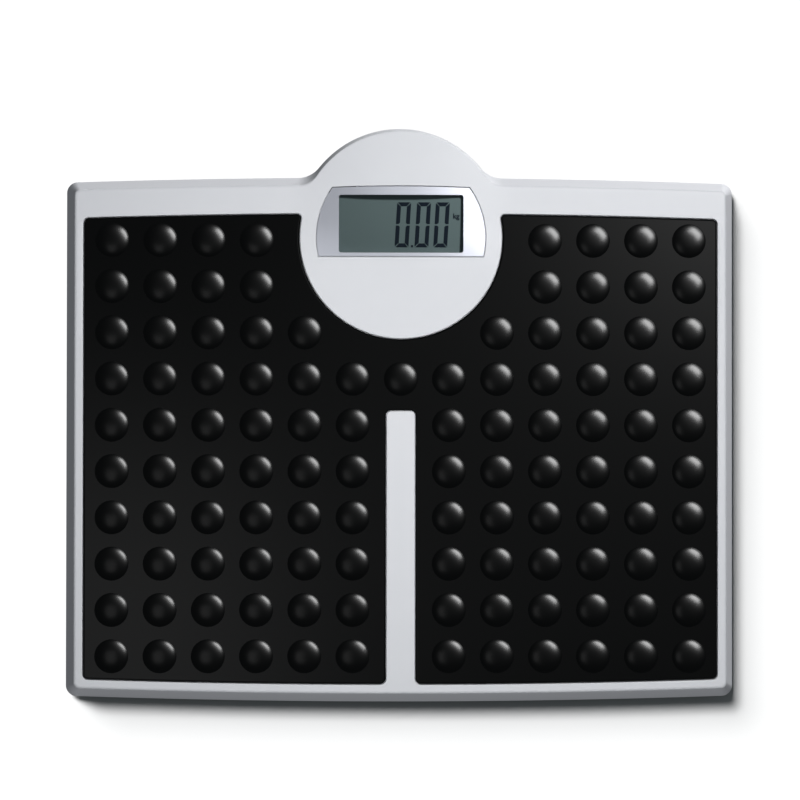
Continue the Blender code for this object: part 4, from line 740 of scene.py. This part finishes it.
# The surround lies on the crowned head, so its top comes down wherever the head's face does.
for i in range(SLICE_COLUMNS):
    slice_faces(bezel, (FIRST_SLICE_X + SLICE_STEP * i, 0.0, 0.0), (1.0, 0.0, 0.0))
for i in range(SLICE_ROWS):
    slice_faces(bezel, (0.0, FIRST_SLICE_Y + SLICE_STEP * i, 0.0), (0.0, 1.0, 0.0))
for vert in bezel.data.vertices:
    x, y, z = vert.co
    full_rise = HEAD_STEP + HEAD_SLOPE * (DISPLAY_Y + y - HEAD_FRONT)
    share = min(max((z + WALL) / (WALL - BEZEL_RECESS - STRAIGHT_WALL), 0.0), 1.0)
    vert.co.z -= share * full_rise * (1 - crown(x, DISPLAY_Y + y))
bezel.data.transform(display_plane)
smooth(bezel)
finish_piece(bezel, silver_film, "platform", "silver_film", "display_bezel")


# Figures on the display

PANE_THICKNESS = 0.001
LCD_TOP = -WALL - SEAT_GAP - PANE_THICKNESS - SEAT_GAP
FIGURE_TOP = LCD_TOP + 0.00012
FIGURE_BOTTOM = LCD_TOP + 0.00002
FIGURE_BASE_Y = 0.1072
FIGURE_STARTS = (-0.0041, 0.0087, 0.0208)
FIGURE_HEIGHT = 0.0289
FIGURE_WIDTH = 0.0089
SLANT = 0.06
STROKE = 0.0025
SEGMENT_GAP = 0.0005
OUTER_GAP = 0.0005
INNER_GAP = 0.0001
INNER_STEP = 0.0002
SEGMENT_TIP = 0.0008
POINT_START = 0.0064
POINT_WIDTH = 0.0013
POINT_HEIGHT = 0.0014
UNIT_SIZE = 0.0046
UNIT_START = 0.0334
UNIT_BASE_Y = 0.1258
UNIT_BOLDER = 0.00012
UNIT_DEPTH = 0.00005
# Dyed liquid crystal: near black with a blue cast.
display_ink = surface("liquid_crystal_dyed", "16202C", "141C28", (0.3, 0.36), 0.001, 0.000002)


def zero_segments():
    """The six segments of a nought, from its lower left corner."""
    width, height, stroke = FIGURE_WIDTH, FIGURE_HEIGHT, STROKE
    end = height / 2 - SEGMENT_GAP
    bottom = [(OUTER_GAP, 0.0), (width - OUTER_GAP, 0.0), (width - stroke - INNER_GAP, stroke),
              (stroke + INNER_GAP, stroke)]
    lower_left = [(0.0, OUTER_GAP), (stroke, stroke + INNER_GAP + INNER_STEP),
                  (stroke, end - SEGMENT_TIP), (stroke - SEGMENT_TIP, end), (0.0, end)]
    upper_left = [(x, height - y) for x, y in reversed(lower_left)]
    lower_right = [(width - x, y) for x, y in reversed(lower_left)]
    upper_right = [(width - x, y) for x, y in reversed(upper_left)]
    top = [(x, height - y) for x, y in reversed(bottom)]
    return [bottom, lower_left, upper_left, lower_right, upper_right, top]


def figure_plate(name, points, start):
    """A thin plate on the display, slanted like the figures."""
    base_y = FIGURE_BASE_Y - DISPLAY_Y
    outline = [(start + x + SLANT * y, base_y + y) for x, y in points]
    return loft(name, [(outline, FIGURE_BOTTOM), (outline, FIGURE_TOP)])


figures = []
for start in FIGURE_STARTS:
    figures += [figure_plate("segment", points, start) for points in zero_segments()]
point = [(0.0, 0.0), (POINT_WIDTH, 0.0), (POINT_WIDTH, POINT_HEIGHT), (0.0, POINT_HEIGHT)]
figures.append(figure_plate("point", point, POINT_START))
display_figures = join(*figures)
display_figures.name = "display_figures"

bpy.ops.object.select_all(action="DESELECT")
bpy.ops.object.text_add()
unit = bpy.context.active_object
unit.data.body = "kg"
unit.data.size = UNIT_SIZE
unit.data.extrude = UNIT_DEPTH
unit.data.offset = UNIT_BOLDER
unit.data.align_x = "LEFT"
bpy.ops.object.convert(target="MESH")
unit_place = (UNIT_START, UNIT_BASE_Y - DISPLAY_Y, FIGURE_TOP - UNIT_DEPTH)
unit.data.transform(Matrix.Translation(unit_place))
join(display_figures, unit)
display_figures.data.transform(display_plane)
finish_piece(display_figures, display_ink, "platform", "display_glass")


# Underside

BASE_BOTTOM = 0.0093
CORNERS = ("front_left", "front_right", "rear_left", "rear_right")
KEYS = ("unit", "pairing")
SCREW_NUMBERS = range(1, 9)
SCREW_SEAT = 0.0115

# Profiles: radius and height of each step
SOLE_PROFILE = (
    (0.0030, 0.0006), (0.0056, 0.0006), (0.0060, 0.0), (0.0088, 0.0), (0.0092, 0.0006),
    (0.0112, 0.0006), (0.0116, 0.0), (0.0150, 0.0), (0.0162, 0.0002), (0.0170, 0.0007),
    (0.0174, 0.0014), (0.0175, 0.0021), (0.0175, 0.0028), (0.0173, 0.0030),
)
CUP_PROFILE = (
    (0.0060, 0.0147), (0.0060, 0.0063), (0.0180, 0.0063), (0.0180, 0.0136), (0.0182, 0.0138),
    (0.0200, 0.0138), (0.0207, 0.0135), (0.0207, 0.0120), (0.0200, 0.0120), (0.0200, 0.0043),
    (0.0199, 0.0038), (0.0196, 0.0035), (0.0190, 0.0033), (0.0040, 0.0033),
)
# Heights against the screw's seat
SCREW_PROFILE = (
    (0.0006, -0.0018), (0.0015, -0.00174), (0.0022, -0.0015), (0.0027, -0.0011),
    (0.0029, -0.0006), (0.0029, 0.0), (0.0014, 0.0), (0.0014, 0.0096), (0.0003, 0.0110),
)
# Heights over the key's face
KEY_PROFILE = (
    (0.0008, 0.0004), (0.0020, 0.00032), (0.0030, 0.0001), (0.0035, 0.0), (0.0040, 0.0001),
    (0.0044, 0.0004), (0.0045, 0.0008), (0.0045, 0.0032), (0.0057, 0.0032), (0.0057, 0.0047),
    (0.0018, 0.0047),
)
KEY_STEM_RADIUS = 0.0018
FOOT_SIDES = 48
SCREW_SIDES = 24
KEY_SIDES = 36
# Cross recess: arm length and half width at its mouth and at its end
RECESS_MOUTH = (0.0017, 0.00036)
RECESS_END = (0.0008, 0.00022)
RECESS_CUT = SCREW_SEAT - 0.0022
RECESS_TOP = SCREW_SEAT - 0.0018
RECESS_FLOOR = SCREW_SEAT - 0.0006


def turned(name, profile, sides, centre=(0.0, 0.0), base=0.0):
    """A closed solid whose profile of radii and heights over base is turned about an upright
    axis."""
    return loft(name, [(shifted(ring(radius, sides), *centre), base + height)
                       for radius, height in profile])


def middle_of(node):
    """Where the middle of a CAD node lies on the floor."""
    (low_x, low_y, _), (high_x, high_y, _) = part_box(node)
    return (low_x + high_x) / 2, (low_y + high_y) / 2


# Ribbed sole with a rounded shoulder, and the cup that carries it
pad = turned("foot_pad", SOLE_PROFILE, FOOT_SIDES)
smooth(pad, weighted=False)
cup = turned("foot_cup", CUP_PROFILE, FOOT_SIDES)
smooth(cup)
for corner in CORNERS:
    foot = middle_of(f"foot_pad_{corner}")
    sole = copy_to(pad, f"ribbed_sole_{corner}", *foot)
    finish_piece(sole, black_rubber, "platform", "black_rubber", f"foot_pad_{corner}")
    holder = copy_to(cup, f"rounded_cup_{corner}", *foot)
    finish_piece(holder, dark_plastic, "platform", "dark_moulded_plastic", f"foot_cup_{corner}")
discard(pad, cup)


def cross(arm, half_width):
    """Outline of a cross recess."""
    quarter = [(arm, -half_width), (arm, half_width), (half_width, half_width)]
    return [(x * c - y * s, x * s + y * c)
            for c, s in ((1, 0), (0, 1), (-1, 0), (0, -1)) for x, y in quarter]


# Pan-head screw with a cross recess, seen from below
screw = turned("screw", SCREW_PROFILE, SCREW_SIDES, base=SCREW_SEAT)
cut(screw, loft("cross_recess", [
    (cross(*RECESS_MOUTH), RECESS_CUT),
    (cross(*RECESS_MOUTH), RECESS_TOP),
    (cross(*RECESS_END), RECESS_FLOOR),
]))
smooth(screw)
for number in SCREW_NUMBERS:
    fastener = copy_to(screw, f"cross_screw_{number}", *middle_of(f"housing_screw_{number}"))
    finish_piece(fastener, zinc_steel, "platform", "zinc_steel", f"housing_screw_{number}")
discard(screw)

# Keys with a dished face
for key in KEYS:
    (_, _, face_z), (_, _, stem_z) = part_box(f"{key}_button")
    profile = (*KEY_PROFILE, (KEY_STEM_RADIUS, stem_z - face_z))
    cap = turned(f"{key}_key_cap", profile, KEY_SIDES, middle_of(f"{key}_button"), face_z)
    smooth(cap)
    finish_piece(cap, dark_plastic, f"{key}_key", "dark_moulded_plastic", f"{key}_button")


MOULD_ROUND = 0.0004


def rounded_solid(node, name):
    """A CAD solid again, with small rounds on its edges as a mould leaves them."""
    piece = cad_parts[node].copy()
    piece.name = name
    piece.data = piece.data.copy()
    bpy.context.scene.collection.objects.link(piece)
    edit(piece)
    bpy.ops.mesh.select_all(action="SELECT")
    bpy.ops.mesh.remove_doubles(threshold=0.000001)
    bpy.ops.mesh.dissolve_limited(angle_limit=math.radians(1))
    done()
    step = piece.modifiers.new("rounds", "BEVEL")
    step.width = MOULD_ROUND
    step.segments = 2
    step.limit_method = "ANGLE"
    step.angle_limit = math.radians(40)
    only(piece)
    bpy.ops.object.modifier_apply(modifier=step.name)
    smooth(piece)
    return piece


tray = rounded_solid("base_tray", "rounded_tray")
finish_piece(tray, grey_plastic, "platform", "grey_moulded_plastic", "base_tray")
door = rounded_solid("battery_door", "rounded_door")
finish_piece(door, grey_plastic, "door", "grey_moulded_plastic", "battery_door")


# Low marks stand 0.5 mm out of the underside: how far each step is drawn in, and its height
# against the underside. A groove is what a bead leaves free inside it.
MARK_STEPS = ((0.0004, -0.0005), (0.0001, -0.0004), (0.0, -0.0001), (0.0, 0.0005))
GROOVE_STEPS = ((-0.0004, -0.001), (-0.0004, -0.0005), (0.0, -0.0001), (0.0, 0.001))
GRIP_MARGIN = 0.002
FIRST_BAR = 0.003
BAR_COUNT = 5
BAR_LENGTH = 0.022
BAR_WIDTH = 0.0014
BAR_PITCH = 0.0026
ARROW_TIP = 0.0175
ARROW_LENGTH = 0.006
ARROW_HALF_WIDTH = 0.0045
# Beads: how far in from the skirt the tray's one runs, and the radii of the round ones
TRAY_BEAD = (0.0105, 0.0120)
FOOT_BEAD = (0.0236, 0.0206)
SCREW_BEAD = (0.0046, 0.0035)
KEY_BEAD = (0.0064, 0.0052)
BEAD_SIDES = 48

door_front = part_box("battery_door")[0][1]


def stepped(name, outline, steps):
    """A solid on the underside; outline is a function of how far it is drawn in."""
    return loft(name, [(outline(drawn_in), BASE_BOTTOM + height) for drawn_in, height in steps])


def bar_outline(y):
    """A grip rib across the door."""
    return lambda drawn_in: rounded_rectangle(BAR_LENGTH - 2 * drawn_in, BAR_WIDTH - 2 * drawn_in,
                                              (0.0, y), BAR_WIDTH / 2 - drawn_in, 3)


def arrow_outline(drawn_in):
    """A wedge that points to the finger scoop."""
    tip_y = door_front + ARROW_TIP
    end_y = tip_y + ARROW_LENGTH - drawn_in
    half_width = ARROW_HALF_WIDTH - 2 * drawn_in
    return [(0.0, tip_y + 2 * drawn_in), (half_width, end_y), (-half_width, end_y)]


first_bar_y = door_front + GRIP_MARGIN + FIRST_BAR
marks = [bar_outline(first_bar_y + BAR_PITCH * i) for i in range(BAR_COUNT)] + [arrow_outline]
grip = join(*[stepped("door_grip", outline, MARK_STEPS) for outline in marks])
grip.name = "door_grip"
smooth(grip)
finish_piece(grip, grey_plastic, "door", "grey_moulded_plastic")


def bead(outer, inner):
    """A low rounded bead between two outlines, standing out of the underside."""
    piece = stepped("tray_bead", outer, MARK_STEPS)
    cut(piece, stepped("groove", inner, GROOVE_STEPS))
    return piece


def round_at(radius, centre):
    """A round outline, as a function of how far it is drawn in."""
    return lambda drawn_in: shifted(ring(radius - drawn_in, BEAD_SIDES), *centre)


tray_outer, tray_inner = TRAY_BEAD
beads = [bead(lambda drawn_in: platform_outline(tray_outer + drawn_in),
              lambda drawn_in: platform_outline(tray_inner + drawn_in))]
ringed = [(f"foot_pad_{corner}", FOOT_BEAD) for corner in CORNERS]
ringed += [(f"housing_screw_{number}", SCREW_BEAD) for number in SCREW_NUMBERS]
ringed += [(f"{key}_button", KEY_BEAD) for key in KEYS]
for node, (outer_radius, inner_radius) in ringed:
    centre = middle_of(node)
    beads.append(bead(round_at(outer_radius, centre), round_at(inner_radius, centre)))
tray_beads = join(*beads)
tray_beads.name = "tray_beads"
smooth(tray_beads)
finish_piece(tray_beads, grey_plastic, "platform", "grey_moulded_plastic")


# Cells in the battery bay: a printed jacket with rounded shoulders, steel at both ends

# Radius and distance from the flat end, along the cell
JACKET_PROFILE = (
    (0.0056, 0.0003), (0.0060, 0.0), (0.0066, 0.0), (0.0069, 0.0002), (0.0071, 0.0006),
    (0.0071, 0.0486), (0.0069, 0.0490), (0.0066, 0.0492), (0.0053, 0.0492), (0.0050, 0.0489),
)
FLAT_END_PROFILE = ((0.0052, 0.0002), (0.0054, 0.0004), (0.0054, 0.0006))
FLAT_END_FACE_PROFILE = ((0.0048, 0.0001), (0.0050, 0.0003))
NUB_PROFILE = (
    (0.0046, 0.0487), (0.0046, 0.0491), (0.0029, 0.0493), (0.0027, 0.0495), (0.0027, 0.0502),
    (0.0025, 0.0505),
)
CELL_SIDES = 48

cell = turned("cell", JACKET_PROFILE, CELL_SIDES)
smooth(cell, weighted=False)
ends = join(turned("flat_end", FLAT_END_PROFILE, CELL_SIDES),
            turned("flat_end_face", FLAT_END_FACE_PROFILE, CELL_SIDES),
            turned("nub", NUB_PROFILE, CELL_SIDES))
smooth(ends, weighted=False)
for number in range(1, 5):
    (low_x, low_y, low_z), (high_x, high_y, high_z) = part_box(f"battery_{number}")
    forwards = number % 2 == 1
    flat_end_place = ((low_x + high_x) / 2, high_y if forwards else low_y, (low_z + high_z) / 2)
    laid = (Matrix.Translation(flat_end_place)
            @ Matrix.Rotation(QUARTER if forwards else -QUARTER, 4, "X"))
    jacket = copy_to(cell, f"jacketed_cell_{number}", 0.0, 0.0)
    jacket.data.transform(laid)
    finish_piece(jacket, cell_jacket, "platform", "cell_jacket", f"battery_{number}")
    steel = copy_to(ends, f"cell_ends_{number}", 0.0, 0.0)
    steel.data.transform(laid)
    finish_piece(steel, zinc_steel, "platform", "zinc_steel")
discard(cell, ends)


# CAD nodes that keep their shape

# Reflective twisted-nematic display: greenish grey, slightly uneven, under polariser film.
lcd_grey = surface("display_polariser_film", "6F8080", "6A7B7B", (0.38, 0.44), 0.0012, 0.000002)
# Clear polycarbonate: nearly invisible, with a faint dark sheen.
clear_pane = surface("polycarbonate_polished", "20262A", "1E2428", (0.06, 0.1), 0.002, 0.000001)
clear_pane.node_tree.nodes["Principled BSDF"].inputs["Alpha"].default_value = 0.1

kept = {
    "display_window": clear_pane,
    "lcd_panel": lcd_grey,
    "lcd_frame": dark_plastic,
    "lcd_ribbon": amber_film,
    "stiffener_plate": zinc_steel,
    "circuit_board": green_laminate,
    "microcontroller": black_resin,
    "radio_module": zinc_steel,
    "cell_connector": white_abs,
    "unit_switch": black_resin,
    "pairing_switch": black_resin,
    "unit_plunger": dark_plastic,
    "pairing_plunger": dark_plastic,
    "battery_lead_positive": black_resin,
    "battery_lead_negative": black_resin,
}
for corner in CORNERS:
    kept[f"load_cell_{corner}"] = zinc_steel
    kept[f"load_cell_cable_{corner}"] = grey_pvc
for number in range(1, 5):
    kept[f"board_screw_{number}"] = zinc_steel
for number in range(1, 6):
    kept[f"cell_contact_{number}"] = zinc_steel
for name, material in kept.items():
    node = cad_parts[name]
    if node.data.materials:
        node.material_slots[0].material = material
    else:
        node.data.materials.append(material)


# Camera, fitted to the object's outline in the photograph

PHOTO_WIDTH = 800
FOCAL_PIXELS = 3673.46
SENSOR_WIDTH = 36.0
CAMERA_PLACE = (-0.05028, -0.03153, 2.400)
CAMERA_TURN = ((0.98669, "X"), (-1.20792, "Y"), (0.08144, "Z"))

camera_data = bpy.data.cameras.new("camera")
camera_data.sensor_width = SENSOR_WIDTH
camera_data.lens = FOCAL_PIXELS / PHOTO_WIDTH * SENSOR_WIDTH
camera = bpy.data.objects.new("camera", camera_data)
bpy.context.scene.collection.objects.link(camera)
camera_frame = Matrix.Translation(CAMERA_PLACE)
for degrees, axis in CAMERA_TURN:
    camera_frame = camera_frame @ Matrix.Rotation(math.radians(degrees), 4, axis)
camera.matrix_world = camera_frame
bpy.context.scene.camera = camera


# Floor and surroundings

FLOOR_SIZE = 8.0
FLOOR_SEEN = (0.6, 0.6, 0.6, 1.0)
FLOOR_RETURN = (0.08, 0.08, 0.085, 1.0)
BACKDROP_SEEN = (1.0, 1.0, 1.0, 1.0)
BACKDROP_LIGHT = (0.092, 0.104, 0.108, 1.0)


def seen_or_else(tree, seen, otherwise):
    """One colour for what the camera sees, another for the light that comes back."""
    eye = add_node(tree, "ShaderNodeLightPath").outputs["Is Camera Ray"]
    choice = add_node(tree, "ShaderNodeMix", {"Factor": eye}, data_type="RGBA")
    choice.inputs[6].default_value = otherwise
    choice.inputs[7].default_value = seen
    return choice.outputs[2]


bpy.ops.object.select_all(action="DESELECT")
bpy.ops.mesh.primitive_plane_add(size=FLOOR_SIZE, location=(0.0, 0.0, 0.0))
floor = bpy.context.active_object
floor.name = "floor"
# Matt white paint. It throws little light back, so that the shadow stays deep.
floor_paint, tree = start_material("floor_matt_white")
paint = add_node(tree, "ShaderNodeBsdfDiffuse",
                 {"Color": seen_or_else(tree, FLOOR_SEEN, FLOOR_RETURN)})
tree.links.new(paint.outputs["BSDF"], tree.nodes["Material Output"].inputs["Surface"])
floor.data.materials.append(floor_paint)
floor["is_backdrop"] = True

world = bpy.data.worlds.new("studio")
world.use_nodes = True
tree = world.node_tree
backdrop = seen_or_else(tree, BACKDROP_SEEN, BACKDROP_LIGHT)
tree.links.new(backdrop, tree.nodes["Background"].inputs["Color"])
bpy.context.scene.world = world

bpy.context.scene.view_settings.view_transform = "Standard"


# Lamps, grouped by what they light

DECK_MIDDLE = (0.0, 0.0, 0.04)
KEY_PLACE = (0.46, 0.62, 1.12)
KEY_SIZE = (0.50, 0.34)
KEY_POWER = 9.5
SHEEN_PLACE = (0.64, 0.62, 1.00)
SHEEN_SIZE = (0.75, 0.50)
PANEL_HEIGHT = 1.00


def lamp_group(name, *pieces):
    """A lamp with this group lights these pieces, and no others."""
    group = bpy.data.collections.new(f"lit_{name}")
    for piece in pieces:
        group.objects.link(piece)
    return group


def all_but(name, *pieces):
    """A lamp with this group lights everything apart from these pieces."""
    group = lamp_group(name, *pieces)
    for entry in group.collection_objects:
        entry.light_linking.link_state = "EXCLUDE"
    return group


def place_lamp(name, kind, place, aim, lit):
    """A lamp that the camera doesn't see, aimed at a point, for one group of pieces."""
    lamp = bpy.data.objects.new(name, bpy.data.lights.new(name, kind))
    bpy.context.scene.collection.objects.link(lamp)
    lamp.location = place
    lamp.rotation_euler = (Vector(aim) - Vector(place)).to_track_quat("-Z", "Y").to_euler()
    lamp.visible_camera = False
    lamp.light_linking.receiver_collection = lit
    return lamp


def softbox(name, place, aim, size, power, lit, sheen=False):
    """An area lamp that gives the lit pieces either their shading or their sheen."""
    lamp = place_lamp(name, "AREA", place, aim, lit)
    lamp.data.shape = "RECTANGLE"
    lamp.data.size, lamp.data.size_y = size
    lamp.data.energy = power
    lamp.visible_diffuse = not sheen
    lamp.visible_glossy = sheen
    return lamp


def panel(name, x, y, size, power, lit):
    """A dim softbox for sheen, flat over one part of the deck."""
    softbox(name, (x, y, PANEL_HEIGHT), (x, y, 0.0), size, power, lit, sheen=True)


def sun(name, towards, spread, strength, lit):
    """Even light from one direction; its spread is in degrees."""
    lamp = place_lamp(name, "SUN", towards, (0.0, 0.0, 0.0), lit)
    lamp.data.angle = math.radians(spread)
    lamp.data.energy = strength


# The floor has suns of its own, so that the shadow falls as in the photograph. The display has
# a lamp of its own, because the window's edges shade it. Shading and sheen come from different
# softboxes: the studs and the bezel mirror a strong one, which from other sides would turn the
# flat rubber grey, so that mirrors large dim panels.
display_pieces = (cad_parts["lcd_panel"], display_figures)
on_rest = all_but("rest", floor, mat, stud_field, *display_pieces)
on_white = all_but("white", floor, mat, stud_field, bezel, *display_pieces)
on_floor = lamp_group("floor", floor)
on_studs = lamp_group("studs", stud_field)
on_bezel = lamp_group("bezel", bezel)
on_mat = lamp_group("mat", mat)
on_rubber = lamp_group("rubber", mat, stud_field)
on_display = lamp_group("display", *display_pieces)

# The light that a white floor throws back on the rear and right flanks comes through the floor.
bounce = softbox("floor_bounce", (0.78, 1.15, -0.75), DECK_MIDDLE, (0.60, 0.60), 27.0, on_rest)
bounce.data.cycles.max_bounces = 0
bounce.light_linking.blocker_collection = all_but("unshaded", floor)
softbox("front_softbox", (0.00, -1.00, 0.33), DECK_MIDDLE, (0.30, 0.30), 1.45, on_rest)
softbox("left_softbox", (-0.95, 0.0, 0.36), DECK_MIDDLE, (0.30, 0.30), 0.15, on_rest)
softbox("overhead_softbox", (0.0, 0.0, 0.50), (0.0, 0.0, 0.0), (0.25, 0.25), 0.90, on_rest)
softbox("key_softbox", KEY_PLACE, DECK_MIDDLE, KEY_SIZE, KEY_POWER, on_rest)
softbox("bezel_sheen", SHEEN_PLACE, DECK_MIDDLE, SHEEN_SIZE, 29.5, on_bezel, sheen=True)
softbox("bezel_haze", (0.88, 0.76, 0.95), DECK_MIDDLE, (1.00, 1.00), 6.5, on_bezel, sheen=True)
softbox("stud_sheen", SHEEN_PLACE, DECK_MIDDLE, SHEEN_SIZE, 34.0, on_studs, sheen=True)
softbox("stud_haze", (0.78, 0.80, 0.72), DECK_MIDDLE, (0.80, 0.80), 7.0, on_studs, sheen=True)
panel("mat_panel", 0.17, 0.02, (0.42, 0.54), 0.125, on_mat)
panel("mat_corner_panel", 0.36, 0.28, (0.22, 0.22), 0.85, on_mat)
softbox("white_sheen", KEY_PLACE, DECK_MIDDLE, KEY_SIZE, KEY_POWER, on_white, sheen=True)
panel("white_panel", 0.44, 0.38, (0.40, 0.40), 2.2, on_white)
panel("rubber_panel", -0.255, -0.235, (0.33, 0.43), 0.42, on_rubber)
softbox("display_softbox", (0.20, 0.30, 0.24), (0.0, 0.12, 0.04), (0.04, 0.04), 1.50, on_display)
sun("floor_sun", (-0.298, 0.402, 1.0), 13.0, 4.00, on_floor)
sun("floor_haze", (-0.56, 0.67, 1.0), 28.0, 2.15, on_floor)

low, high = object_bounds()
